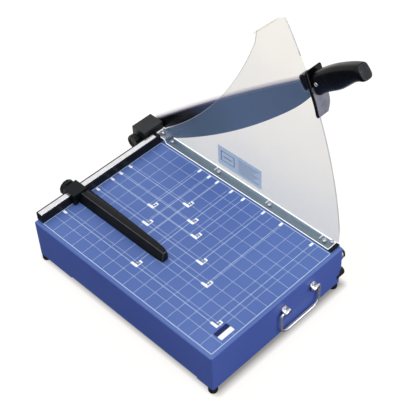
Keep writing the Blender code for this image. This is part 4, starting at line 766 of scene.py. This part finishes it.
# %% Plate
PLATE = (271.0, 242.0, 375.0, 393.0)
PLATE_THICKNESS = 0.0003
middle = (PLATE[2] + PLATE[3]) / 2
for name, sides, first, second in (
    ("plate_dark_half", (*PLATE[:3], middle), (12, 20, 84), (18, 28, 98)),
    ("plate_pale_half", (*PLATE[:2], middle, PLATE[3]), (246, 248, 252), (251, 252, 254)),
):
    foil = plain(name, first, second, 300.0, 0.4, 0.25)
    add_piece(name, on_bed(name, [sides], BED_TOP - INK_SUNK, BED_TOP + PLATE_THICKNESS), foil, "base")

# %% [markdown]
# ## Bent clear guard
# The guard is one sheet, bent along the cut edge: a flange under the screws and a tall plate beside
# the blade. A box model has a square, dull corner there, while the real bend and the sawn edges
# catch the light. So the outer skin is worked out as one surface: rows run along the section, from
# the flange round the bend and up the plate, and columns run from front to back. Solidify gives it
# its thickness, and its rim gets the finish of a sawn edge.

# %% Guard outline
GUARD_RIGHT = CUT_EDGE - 0.0011
GUARD_SHEET = 0.0024
FLANGE_WIDTH = 0.0212
FLANGE_Z = BED_TOP + 0.0025
TAB_Z = BED_TOP + 0.0098
PLATE_Z = BED_TOP + 0.0065
FLANGE_FRONT, PLATE_FRONT, TAB_BACK = -0.393, -0.400, 0.0148
STEP_FRONT, STEP_BACK = -0.0122, -0.0074
BEND = 0.0034
EDGE_LINE = 0.0015
# The notch that leaves room for the handle's collar, and the stretch about it: least reach, least and most rise
# in mm about the lever.
NOTCH = (443, -22, 3.9)
NEAR_NOTCH = (425, -45, 30)


def on_guard(reach, angle):
    """Distance from the rail, and height, of a point given about the pivot in mm and degrees."""
    turn = np.radians(angle)
    return PIVOT[1] - RAIL_FRONT - reach * MM * np.cos(turn), PIVOT[2] + reach * MM * np.sin(turn)


def circle_centre(a, b, d):
    """Centre c of the circle through three points: |p - c| = |a - c| for b and d is linear in c."""
    return np.linalg.solve(2 * np.array([b - a, d - a]), [b @ b - a @ a, d @ d - a @ a])


def arc_through(start, middle, end, count=40):
    """Points of the circle through three points."""
    points = [np.array(p) for p in (start, middle, end)]
    centre = circle_centre(*points)
    turns = np.unwrap([np.arctan2(*(p - centre)[::-1]) for p in points])
    angle = np.linspace(turns[0], turns[2], count)
    return centre + np.hypot(*(points[0] - centre)) * np.stack([np.cos(angle), np.sin(angle)], axis=-1)


GUARD_TIP = on_guard(494.1, 51.54)
LIP_ENDS = np.array([on_guard(421.0, 53.3), on_guard(477.7, 52.4)])
back_arc = arc_through(on_guard(32.8, 25.42), on_guard(203.2, 42.39), on_guard(399.0, 51.62))
front_arc = arc_through(on_guard(432.1, 1.31), on_guard(442.1, 27.1), on_guard(489.8, 49.8))
guard_back = np.concatenate([[(TAB_BACK, TAB_Z)], back_arc, LIP_ENDS, [GUARD_TIP]])
guard_front = np.concatenate([[(PLATE_FRONT, PLATE_Z)], front_arc, [GUARD_TIP]])


def plate_ends(z):
    """Distances of the plate's front and back edge from the rail at a height."""
    return [np.interp(z, edge[:, 1], edge[:, 0]) for edge in (guard_front, guard_back)]


# %% Guard surface
def guard_skin():
    """The outer skin as grid[row, column].

    Columns are shares s of the way from front to back. Flange rows are straight across, bend rows
    are a quarter circle, and a plate row at height z runs from y_front(z) to y_back(z).
    """
    tab = np.append(np.linspace(-0.005, TAB_BACK - 2 * EDGE_LINE, 8), [TAB_BACK - EDGE_LINE, TAB_BACK])
    y = np.concatenate([np.linspace(FLANGE_FRONT, -0.014, 60), np.linspace(-0.0125, -0.007, 12), tab])
    share = (y - y[0]) / (y[-1] - y[0])
    step = np.clip((y - STEP_FRONT) / (STEP_BACK - STEP_FRONT), 0, 1)
    base = FLANGE_Z + (TAB_Z - FLANGE_Z) * step * step * (3 - 2 * step)
    section = [(x, 0.0) for x in np.linspace(GUARD_RIGHT - FLANGE_WIDTH, GUARD_RIGHT - BEND, 6)]
    turns = np.radians(np.linspace(0, 90, 8))[1:]
    section += [(GUARD_RIGHT - BEND + BEND * np.sin(turn), BEND * (1 - np.cos(turn))) for turn in turns]
    rows = [xyz(x, y, base + lift) for x, lift in section]
    corners = np.concatenate([guard_back[:, 1], guard_front[:, 1]])
    heights = np.unique(np.concatenate([corners, np.linspace(PLATE_Z, corners.max(), 60)]).round(5))
    for z in heights[heights > PLATE_Z - 0.0001]:
        front, back = plate_ends(z)
        rows.append(xyz(GUARD_RIGHT, front + (back - front) * share, np.maximum(z, base + BEND + 0.0004)))
    return np.array(rows) + (0, RAIL_FRONT, 0)


def faces_within(mesh, least_reach, least_rise, most_rise):
    """Which faces have their middle in a stretch of the guard, in mm about the lever."""
    centres = np.empty(len(mesh.polygons) * 3)
    mesh.polygons.foreach_get("center", centres)
    offset = (centres.reshape(-1, 3) - PIVOT) / MM
    reach, rise = offset @ ALONG_LEVER, offset @ UP_LEVER
    return (reach > least_reach) & (rise > least_rise) & (rise < most_rise)


mesh = skin("clear_guard", guard_skin(), wrap=False, smooth=60)
notch = np.flatnonzero(faces_within(mesh, *NOTCH))
work = bmesh.new()
work.from_mesh(mesh)
work.faces.ensure_lookup_table()
bmesh.ops.delete(work, geom=[work.faces[k] for k in notch], context="FACES")
work.to_mesh(mesh)
work.free()
guard = add_piece("clear_guard", mesh, FINISHES["clear_sheet"], "base", ["safety_guard"])
thickness = guard.modifiers.new("sheet", "SOLIDIFY")
thickness.thickness = GUARD_SHEET
thickness.offset = -1.0
thickness.use_even_offset = True
thickness.material_offset_rim = 1

# %% [markdown]
# The finishes go by faces: the bend and a thin line along the back edge get the sawn edge's painted
# glow and highlight, the flange has an even veil, and the edge round the collar's notch is dull.
# Solidify gives a rim face the finish after its neighbour's, so each sheet finish is followed by the
# one for its own edge.

# %% Guard finishes
CLEAR, PAINTED_GLOW_BEND, NOTCHED, _, FLANGE, _, LINE = range(7)
centres, normals = np.empty((2, len(mesh.polygons) * 3))
mesh.polygons.foreach_get("center", centres)
mesh.polygons.foreach_get("normal", normals)
x, y, z = (centres.reshape(-1, 3) - (0, RAIL_FRONT, 0)).T
tilt = np.abs(normals.reshape(-1, 3)[:, 2])
flange = x < GUARD_RIGHT - BEND
# The bend and the line along the back edge take the sawn edge's finish: a painted glow and highlight.
bend = ~flange & (tilt > 0.35) & (tilt < 0.85) & (y < STEP_FRONT)
front, back = plate_ends(z)
margin = EDGE_LINE / (TAB_BACK - FLANGE_FRONT) * (back - front)
line = ~flange & (back - y < margin) & (z > TAB_Z + BEND)
notched = faces_within(mesh, *NEAR_NOTCH)
finishes = ("sheet_edge", "clear_sheet", "dull_edge", "flange_sheet", "sheet_edge", "edge_line", "edge_line")
numbers = np.select([notched, line, bend, flange], [NOTCHED, LINE, PAINTED_GLOW_BEND, FLANGE], CLEAR)
paint_faces(mesh, finishes, numbers)

# %% [markdown]
# ## On the guard
# A pale ruled label is stuck inside the plate. A lip is folded along the plate's short upper edge,
# and small white pegs locate the flange behind its screws.


# %% Label, lip and pegs
def on_plate(name, finish, rectangles, thickness, out=0.0):
    """Slabs on the plate's left face, from rows of (back, front, low, high) in mm from the rail and the bed."""
    back, front, low, high = np.array(rectangles, float).T * MM
    face = GUARD_RIGHT - GUARD_SHEET - out
    near = xyz(face - thickness, RAIL_FRONT - front, BED_TOP + low)
    far = xyz(face, RAIL_FRONT - back, BED_TOP + high)
    return add_piece(name, slabs(name, near, far), finish, "base")


LABEL = (127, 229, 16, 60)
LABEL_THICKNESS = 0.0002
PEG_PLACES = (125.3, 246.6, 366.6)
on_plate("guard_label", plain("label_paper", (214, 234, 255), (224, 240, 255)), [LABEL], LABEL_THICKNESS)
rules = [(176, 222 - 6 * (k % 3), 51 - 4.6 * k, 51.9 - 4.6 * k) for k in range(7)]
rules += [(134, 166, 28, 29), (134, 166, 49, 50), (134, 135.5, 28, 50), (164.5, 166, 28, 50), (140, 160, 38, 39.6)]
on_plate("guard_label_rules", plain("label_ink", (60, 74, 112), (76, 90, 128)), rules, 0.0001, LABEL_THICKNESS)

way = (LIP_ENDS[1] - LIP_ENDS[0]) / np.hypot(*(LIP_ENDS[1] - LIP_ENDS[0]))
inward = np.array([-way[1], way[0]])
across, sunk = np.array([(0, 0), (0, 1), (-0.0075, 1), (-0.008, 0.5), (-0.0075, 0)]).T
y, z = (np.linspace(*LIP_ENDS, 8)[:, None] + inward * sunk[:, None] * GUARD_SHEET).transpose(2, 0, 1)
lip = xyz(GUARD_RIGHT - GUARD_SHEET + across, y + RAIL_FRONT, z)
add_skin("guard_lip", lip, "flange_sheet", "base", smooth=40)

pegs = [(13.0, 3.4, y - 1.1, y + 1.1) for y in PEG_PLACES]
peg_white = plain("peg_white", (236, 240, 240), (250, 252, 252))
pegs = on_bed("flange_pegs", pegs, FLANGE_Z + 0.0001, FLANGE_Z + 0.0016)
add_piece("flange_pegs", pegs, peg_white, "base")

# %% [markdown]
# ## The lever's new shapes
# The blade's edge and back are arcs, and the moulded handle swells and narrows, so their sections
# are worked out at many stations along the lever. Everything is written as x, reach and rise, which
# one function turns into places in the room.


# %% On the lever
def on_lever(x, reach, rise):
    """Places in metres from x, reach and rise in mm about the pivot, for the lever at rest."""
    return xyz(x, reach, rise) * MM @ np.array([(1, 0, 0), ALONG_LEVER, UP_LEVER]) + PIVOT


def circle_rise(reach, *points):
    """Rise of the circle through three points at a reach: c +- sqrt(R^2 - (r - c_r)^2)."""
    a, b, d = (np.array(p, float) for p in points)
    centre = circle_centre(a, b, d)
    root = np.sqrt((a - centre) @ (a - centre) - (reach - centre[0]) ** 2)
    return centre[1] + np.sign(b[1] - centre[1]) * root


# %% Blade
BLADE_LEFT, BLADE_RIGHT, BLADE_LAND, BLADE_GRIND = 0.4, 4.2, 0.5, 9.0
UNDER_COLLAR = -23.1


def blade_skin():
    """The blade as grid[station, corner], ground from the right.

    The edge follows its circle, lifts by 3.5 ((r - 385) / 60)^2 mm near the nose and runs on below
    the collar as far as the hand guard. The corners are edge, land, slope, top right and top left.
    """
    nose = [440.0, 446.0, 452.0, 457.0, 460.5, 461.8]
    reach = np.concatenate([[-12.0, 0.0], np.linspace(18.0, 440.0, 84), nose])
    edge = circle_rise(np.maximum(reach, 18), (18, -31), (200.2, -50.5), (440, -38))
    edge += 3.5 * (np.maximum(reach - 385, 0) / 60) ** 2
    edge[:2] = -12, -24
    edge[-2:] += (0.6, 2.6)
    top = circle_rise(np.maximum(reach, 0), (0, 10), (220, 6.2), (440, -6.3))
    top[0] = 5
    top[-len(nose) :] = UNDER_COLLAR
    slope = np.minimum(BLADE_GRIND, (top - edge) / 3)
    columns = (
        (BLADE_LEFT, edge),
        (BLADE_LEFT + BLADE_LAND, edge),
        (BLADE_RIGHT, edge + slope),
        (BLADE_RIGHT, top),
        (BLADE_LEFT, top),
    )
    return np.stack([on_lever(x, reach, rise) for x, rise in columns], axis=1)


add_skin("ground_blade", blade_skin(), "blade_steel", "lever", ["blade"], smooth=20)

# %% [markdown]
# ## Grip
# The grip is one moulding with a soft, nearly elliptic section. A superellipse |x / a|^p + |z / b|^p
# = 1 with p = 3.2 lies between an ellipse and a rounded box. Its top and bottom lines pass through a
# few heights read from the picture; a Hermite curve joins them smoothly. The closed end is ribbed.

# %% Smooth lines
GRIP_END = 575.3
GRIP_X, GRIP_HALF_WIDTH, GRIP_HEIGHT, GRIP_POWER = 5.0, 12.5, 20.0, 3.2
ROUND = 64
# Each row: share of the length, top and bottom in grip heights, share of the half width.
GRIP_LINES = np.array(
    [
        (0.00, -0.020, -0.870, 0.90),
        (0.03, 0.010, -0.895, 0.97),
        (0.16, 0.028, -0.865, 1.00),
        (0.30, 0.032, -0.890, 1.00),
        (0.42, 0.022, -0.920, 1.00),
        (0.52, 0.002, -0.920, 0.99),
        (0.62, -0.030, -0.890, 0.98),
        (0.72, -0.070, -0.850, 0.97),
        (0.82, -0.120, -0.825, 0.96),
        (0.90, -0.170, -0.850, 0.95),
        (0.96, -0.215, -0.900, 0.92),
        (1.00, -0.250, -0.890, 0.84),
    ]
)


def smooth_line(places, known, values):
    """A curve through known points: cubic Hermite pieces with slopes from each point's neighbours."""
    slopes = np.gradient(values, known)
    k = np.clip(np.searchsorted(known, places) - 1, 0, len(known) - 2)
    width = known[k + 1] - known[k]
    t = (places - known[k]) / width
    rest = 1 - t
    ends = values[k] * rest**2 * (1 + 2 * t) + values[k + 1] * t**2 * (3 - 2 * t)
    return ends + width * (slopes[k] * t * rest**2 - slopes[k + 1] * t**2 * rest)


def smooth_step(value, edge):
    """0 below -edge, 1 above +edge, and a smooth rise between."""
    t = np.clip(value / edge / 2 + 0.5, 0, 1)
    return t * t * (3 - 2 * t)


def guard_face(rise):
    """Reach of the hand guard's near face: it leans, and curls back below the grip."""
    return 468.3 + 0.34 * (rise + 15) - 3.5 * (np.maximum(-rise - 40, 0) / 26.5) ** 2


# %% Grip surface
HAND_GUARD_THICKNESS = 3.0
RIBBED_FROM = 63


def grip_skin():
    """The grip as grid[station, angle], then rings that close its ribbed end.

    A ring at share s of the way stands at reach start + (end - start) s, where the start leans with
    the hand guard. The end's rings shrink to the middle, and their reach waves by 0.4 mm.
    """
    shares = np.concatenate([np.linspace(0, 0.9, 46), np.linspace(0.905, 1.0, 16)])
    top, low, wide = (smooth_line(shares, GRIP_LINES[:, 0], GRIP_LINES[:, k]) for k in (1, 2, 3))
    angle = np.linspace(0, 2 * np.pi, ROUND, endpoint=False)
    across, up = (np.sign(v) * np.abs(v) ** (2 / GRIP_POWER) for v in (np.cos(angle), np.sin(angle)))
    x = GRIP_X + GRIP_HALF_WIDTH * wide[:, None] * across
    rise = GRIP_HEIGHT * ((top + low)[:, None] + (top - low)[:, None] * up)
    start = guard_face(rise) + HAND_GUARD_THICKNESS + 0.1
    rings = [on_lever(x, start + (GRIP_END - start) * shares[:, None], rise)]
    middle = rise[-1].mean()
    for scale in np.linspace(0.96, 0.05, 26):
        inner = middle + (rise[-1] - middle) * scale
        ribs = 0.4 * np.cos(inner * 2 * np.pi / 2.6) * smooth_step(0.86 - scale, 0.05)
        reach = GRIP_END + 0.5 - ribs - 0.5 * scale
        rings.append(on_lever(GRIP_X + (x[-1] - GRIP_X) * scale, reach, inner)[None])
    return np.concatenate(rings)


mesh = add_skin("moulded_grip", grip_skin(), "moulding", "lever", ["grip"]).data
# The ribbed end has a paler finish: painted sheen.
paint_faces(mesh, ["sheen_ribbed_end"], np.arange(len(mesh.polygons)) >= RIBBED_FROM * ROUND)

# %% [markdown]
# ## Hand guard
# The plate between grip and blade is moulded from the same plastic, but the face towards the user
# is polished and painted grey as a sheen, and its left edge has a painted pale highlight. So the
# skin's columns, which run round the plate's section, are given three finishes.


# %% Hand guard surface
def hand_guard_skin():
    """The plate as grid[height, corner]: near face, right edge, far face, and a bevelled left edge."""
    rise = np.concatenate([[7.5, 7.2, 6.6, 5.6], np.linspace(4.4, -60.0, 39), [-62.5, -64.6, -66.0, -66.5]])
    down = (7.5 - rise) / 74.0
    right = 22.5 * (1 - 0.1 * down - 0.33 * (np.maximum(down - 0.72, 0) / 0.28) ** 2)
    left = -12 + 3.0 * (np.maximum(down - 0.9, 0) / 0.1) ** 2
    corner = 4.5 * (1 - np.sqrt(1 - np.clip((rise - 3.0) / 4.6, 0, 1) ** 2))
    left, right = left + corner, right - corner
    thin = np.zeros_like(rise)
    thin[:2], thin[-2:] = (1.0, 0.4), (0.5, 1.0)
    near, far = guard_face(rise) + thin, guard_face(rise) + HAND_GUARD_THICKNESS - thin
    full = thin < 0.45
    columns = (
        (left + 0.8, near - 1.2 * full),
        (right - 0.8, near),
        (right, near + 0.8 * full),
        (right, far - 0.8 * full),
        (right - 0.8, far),
        (left + 2.4, far),
        (left + 2.0, far + 1.0 * full),
        (left + 0.3, far + 0.9 * full),
        (left, near - 0.8 * full),
    )
    return np.stack([on_lever(x, reach, rise) for x, reach in columns], axis=1)


grid = hand_guard_skin()
piece = add_skin("moulded_hand_guard", grid, "moulding", "lever", ["hand_guard"], smooth=30)
row, column = np.divmod(np.arange(len(piece.data.polygons)), grid.shape[1])
# Painted sheen on the face towards the user, painted highlight along the left edge.
polished, highlight_faces = (column == 4) & (row > 17), (column == 6) & (row > 3) & (row < 21)
numbers = np.select([row >= len(grid) - 1, polished, highlight_faces], [0, 1, 2], 0)
paint_faces(piece.data, ["sheen_grey_moulding", "painted_highlight_edge"], numbers)

# %% [markdown]
# ## Gauge arm
# The arm of the paper gauge is a long moulding with a leaning left face, a ridge with a painted pale
# highlight and a round back. It grows narrower and squarer towards its nose, which is cut off with a
# small bevel that also has a painted highlight. A stretched box would show none of that, so the
# section is worked out anew at each station.

# %% Gauge arm surface
GAUGE_PLACE = CUT_EDGE - 0.221
GAUGE_HEIGHT, BLOCK_END_WIDTH, NOSE_WIDTH = 20, 24, 12
BEVEL_CENTRE = 0.5
# Each row: share of the length, and shares of the full width and height that the bevel leaves there.
GAUGE_STATIONS = (
    (0, 1, 1),
    (0.3, 1, 1),
    (0.6, 1, 1),
    (0.88, 1, 1),
    (0.94, 0.95, 0.99),
    (0.98, 0.85, 0.97),
    (0.995, 0.76, 0.94),
    (1, 0.7, 0.9),
)


def gauge_arm_skin():
    """The arm as grid[station, corner]: foot, ridge, and back (2 + w cos^q a, 20 sin^q a) mm.

    The back's width w falls from 24 mm at the block to 12 mm at the nose, and q from 1, which is a
    quarter round, to 0.4, which is nearly square.
    """
    start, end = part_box("gauge_block")[0].y - 0.0002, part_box("gauge_arm")[0].y
    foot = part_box("gauge_arm")[0].z
    angle = np.radians(np.linspace(84, 0, 22))
    rows = []
    for share, wide, high in GAUGE_STATIONS:
        width, power = BLOCK_END_WIDTH + (NOSE_WIDTH - BLOCK_END_WIDTH) * share, 2 / (2 + 3 * share)
        x = np.concatenate([[-4.5, -4.2, 0.9, 1.7, 2.8], 2 + width * np.cos(angle) ** power, [width + 1, -4.0]])
        z = np.concatenate([[0.3, 1.2, 18.7, 19.7, 19.95], GAUGE_HEIGHT * np.sin(angle) ** power, [0, 0]])
        x = GAUGE_PLACE + (BEVEL_CENTRE + (x - BEVEL_CENTRE) * wide) * MM
        rows.append(xyz(x, start + (end - start) * share, foot + z * high * MM))
    return np.array(rows)


grid = gauge_arm_skin()
piece = add_skin("moulded_gauge_arm", grid, "black_plastic", "gauge", ["gauge_arm"], smooth=35)
row, column = np.divmod(np.arange(len(piece.data.polygons)), grid.shape[1])
# Painted highlight on the ridge and on the nose's bevel.
highlight_faces = ((column == 2) | ((row == len(grid) - 2) & (column < 14))) & (row < len(grid) - 1)
paint_faces(piece.data, ["painted_highlight_edge"], highlight_faces)

# %% [markdown]
# ## Carrying bail and its saddles
# The bail is a bent round wire. A tube along a path of straight runs and quarter circles shows the
# true bends; each ring lies square to the path. The saddles are straps pressed round the wire, with
# round ends, and are skinned along their length in the same way.

# %% Bail
BAIL_HALF, BAIL_DROP, BAIL_PIN, WIRE_RADIUS = 45.8, 46.0, 18.0, 0.00225


def rounded_path(corners, radii, steps=10):
    """Straight runs joined by quarter circles.

    For a corner b with unit vectors u and v to its neighbours, the circle's centre is b + r (u + v).
    """
    path = [corners[0]]
    for before, corner, after, radius in zip(corners, corners[1:], corners[2:], radii):
        u, v = ((p - corner) / np.linalg.norm(p - corner) for p in (before, after))
        for turn in np.linspace(0, np.pi / 2, steps):
            path.append(corner + radius * (u + v - v * np.cos(turn) - u * np.sin(turn)))
    return np.array([*path, corners[-1]])


def tube(path, radius, normal, count=20):
    """Rings of a tube along a flat path whose plane has this normal."""
    way = np.gradient(path, axis=0)
    way /= np.linalg.norm(way, axis=1, keepdims=True)
    side = np.cross(way, normal)
    angle = np.linspace(0, 2 * np.pi, count, endpoint=False)[:, None]
    return path[:, None] + radius * (np.cos(angle) * normal + np.sin(angle) * side[:, None])


half_path = [(BAIL_PIN - BAIL_HALF, 0, 0), (-BAIL_HALF, 0, 0), (-BAIL_HALF, 0, -BAIL_DROP)]
corners = np.array([*half_path, *((-x, y, z) for x, y, z in half_path[::-1])])
path = rounded_path(corners, (4, 16, 16, 4)) * MM + BAIL_PIVOT
add_skin("wire_bail", tube(path, WIRE_RADIUS, np.array([0.0, 1.0, 0.0])), "chrome", "bail", ["carry_bail"])

# %% Saddles
STRAP_OUT, STRAP_INNER, STRAP_HALF, STRAP_HALF_WIDTH, STRAP_SHEET = 5.9, 3.5, 11.0, 6.75, 1.4
FLAT_POINTS = 12


def saddle_skin(centre_x, wall, z):
    """A strap as grid[station, corner], from its top flange over the wire to its bottom flange.

    The section's corners are offsets along the strap's normal. Near each end the half width shrinks
    as sqrt(1 - t^2), which rounds the flange.
    """
    turn = np.radians(np.linspace(90, 270, 25))
    flat = np.linspace(STRAP_HALF, STRAP_INNER + 0.8, FLAT_POINTS)
    bow = np.maximum(STRAP_OUT - STRAP_INNER * np.cos(turn), 0.05)
    depth = np.concatenate([np.zeros(FLAT_POINTS), bow, np.zeros(FLAT_POINTS)])
    rise = np.concatenate([flat, STRAP_INNER * np.sin(turn), -flat[::-1]])
    ahead = np.stack([np.gradient(depth), np.gradient(rise)], axis=-1)
    ahead /= np.linalg.norm(ahead, axis=1, keepdims=True)
    normal = np.stack([-ahead[:, 1], ahead[:, 0]], axis=-1)
    end = np.clip((np.abs(rise) - (STRAP_HALF - 6.0)) / 6.0, 0, 0.995)
    end[FLAT_POINTS:-FLAT_POINTS] = 0
    wide = STRAP_HALF_WIDTH * np.sqrt(1 - end**2)
    rows, blunt = [], STRAP_SHEET - 0.4
    for across, lift in ((-1, 0), (1, 0), (1, blunt), (0.94, STRAP_SHEET), (-0.94, STRAP_SHEET), (-1, blunt)):
        y = wall - (depth + normal[:, 0] * lift) * MM
        rows.append(xyz(centre_x + wide * across * MM, y, z + (rise + normal[:, 1] * lift) * MM))
    return np.stack(rows, axis=1)


for side in ("left", "right"):
    low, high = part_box("saddle_" + side)
    strap = saddle_skin((low.x + high.x) / 2, high.y, (low.z + high.z) / 2)
    add_skin("pressed_saddle_" + side, strap, "pressed_chrome", "base", ["saddle_" + side])

# %% [markdown]
# ## Pan-head screws with a cross recess
# The guard, the knives and the blade are held by small cross-head screws. Their heads are domes with
# a cross sunk in, so the height over the head is a function of the place on it: a flattened dome
# minus a cross of two smooth-edged bars.

# %% Cross-head screws
CROWN_RINGS = 18


def cross_screw(head, height, shank, length, turn):
    """Screw skin about +Z with its head's underside at 0.

    Rows are rings from the crown, over the rim and down the shank. The crown is a height of
    0.4 + 0.6 sqrt(1 - (0.92 r / R)^2), less the cross, whose bars are |x| < w and |y| < l.
    """
    angle = np.linspace(0, 2 * np.pi, ROUND, endpoint=False)
    radius = np.concatenate([np.linspace(0.0, 0.98, CROWN_RINGS) * head, [head, head, shank, shank, 0.0]])
    rim = 0.4 * height
    crown = rim + (height - rim) * np.sqrt(1 - (0.92 * radius[:CROWN_RINGS] / head) ** 2)
    z = np.concatenate([crown, [rim, 0, 0, -length, -length]])
    x, y = np.cos(angle + turn) * radius[:, None], np.sin(angle + turn) * radius[:, None]
    soft, wide, long = 0.05 * head, 0.14 * head, 0.62 * head
    bar = smooth_step(wide - np.abs(x), soft) * smooth_step(long - np.abs(y), soft)
    other = smooth_step(wide - np.abs(y), soft) * smooth_step(long - np.abs(x), soft)
    top = np.arange(len(z))[:, None] < CROWN_RINGS
    heights = z[:, None] - np.where(top, 0.55 * height * np.maximum(bar, other), 0)
    return xyz(x, y, heights)


def fit_screw(node, way, head, height, shank, turn, body, proud=0.0):
    """A detailed screw in the place of a CAD one, whose box gives its axis and its two ends."""
    low, high = (np.array(corner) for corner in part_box(node))
    axis = {"x": 0, "z": 2}[way[1]]
    points = cross_screw(head, height, shank, high[axis] - low[axis] - height, turn)
    points = points[..., {"+z": [0, 1, 2], "+x": [2, 0, 1], "-x": [2, 1, 0]}[way]]
    if way == "-x":
        points = points * (-1, 1, 1)
    centre = (low + high) / 2
    centre[axis] = high[axis] - height + proud if way[0] == "+" else low[axis] + height - proud
    add_skin(node + "_cross", points + centre, "zinc_steel", body, [node])


SMALL_HEAD = (0.0038, 0.0022, 0.0019)
KNIFE_HEAD = (0.0044, 0.0026, 0.0022)
for number in range(1, 5):
    fit_screw(f"guard_screw_{number}", "+z", *SMALL_HEAD, 0.6 * number, "base")
    fit_screw(f"knife_screw_{number}", "+x", *KNIFE_HEAD, 0.9 * number, "base")
    fit_screw(f"blade_screw_{number}", "+x", *SMALL_HEAD, 0.5 * number, "lever")
place = (CUT_EDGE - 0.0057, RAIL_FRONT - 0.3878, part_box("guard_screw_4")[1].z - SMALL_HEAD[1])
front_screw = cross_screw(0.0030, 0.0017, 0.0015, 0.0020, 0.4) + place
add_skin("flange_front_screw", front_screw, "zinc_steel", "base")
fit_screw("guard_rear_screw", "+z", *SMALL_HEAD, 0.3, "base")
fit_screw("buffer_screw", "+x", 0.0080, 0.0025, 0.0025, 0.2, "base")
fit_screw("grip_screw", "-x", 0.0036, 0.0024, 0.0019, 0.4, "lever", 0.0013)

# %% [markdown]
# ## Buffer cup and side bumper
# The rubber ring that stops the blade sits in a chromed cup against the right wall, which shows as a
# bright rim. Below it is a short rubber bumper with a rounded end. Both are turned shapes: a profile
# of distances from the wall and from the axis, carried round in rings.


# %% Turned shapes
def turned(profile, centre):
    """Rings about the X axis: point (d, r) of the profile becomes centre + (d, r cos a, r sin a)."""
    angle = np.linspace(0, 2 * np.pi, ROUND, endpoint=False)
    along, radius = np.array(profile).T[:, :, None] * np.ones(ROUND)
    return xyz(along, radius * np.cos(angle), radius * np.sin(angle)) + centre


low, high = (np.array(corner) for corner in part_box("stop_buffer"))
size = (high[2] - low[2]) / 2 + 0.0006
depth = (high[0] - low[0]) * 0.45
cup = [(0, 0), (0, size), (depth - 0.0006, size), (depth - 0.0002, size - 0.0002), (depth, size - 0.0006), (depth, 0)]
add_skin("buffer_cup", turned(cup, (low[0], *((low + high) / 2)[1:])), "chrome", "base")

low, high = (np.array(corner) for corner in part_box("side_foot"))
size = 0.43 * (high[2] - low[2])
length = high[0] - low[0]
print("bumper radius and length", round(size, 5), round(length, 5))
bends = np.radians(np.linspace(0, 90, 12))
crown = [(length - 0.45 * size * (1 - np.sin(t)), size * (0.5 + 0.5 * np.cos(t))) for t in bends]
bumper = turned([(0, 0), (0, size), *crown, (length, 0)], (low[0], (low[1] + high[1]) / 2, low[2] + size))
add_skin("side_bumper", bumper, "rubber", "base", ["side_foot"])

# %% [markdown]
# ## Size
# The dressed cutter has to keep the CAD model's size, so its box is printed.

# %% Sizes
low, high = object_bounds()
print("visual box", [round(v, 4) for v in (*low, *high)])
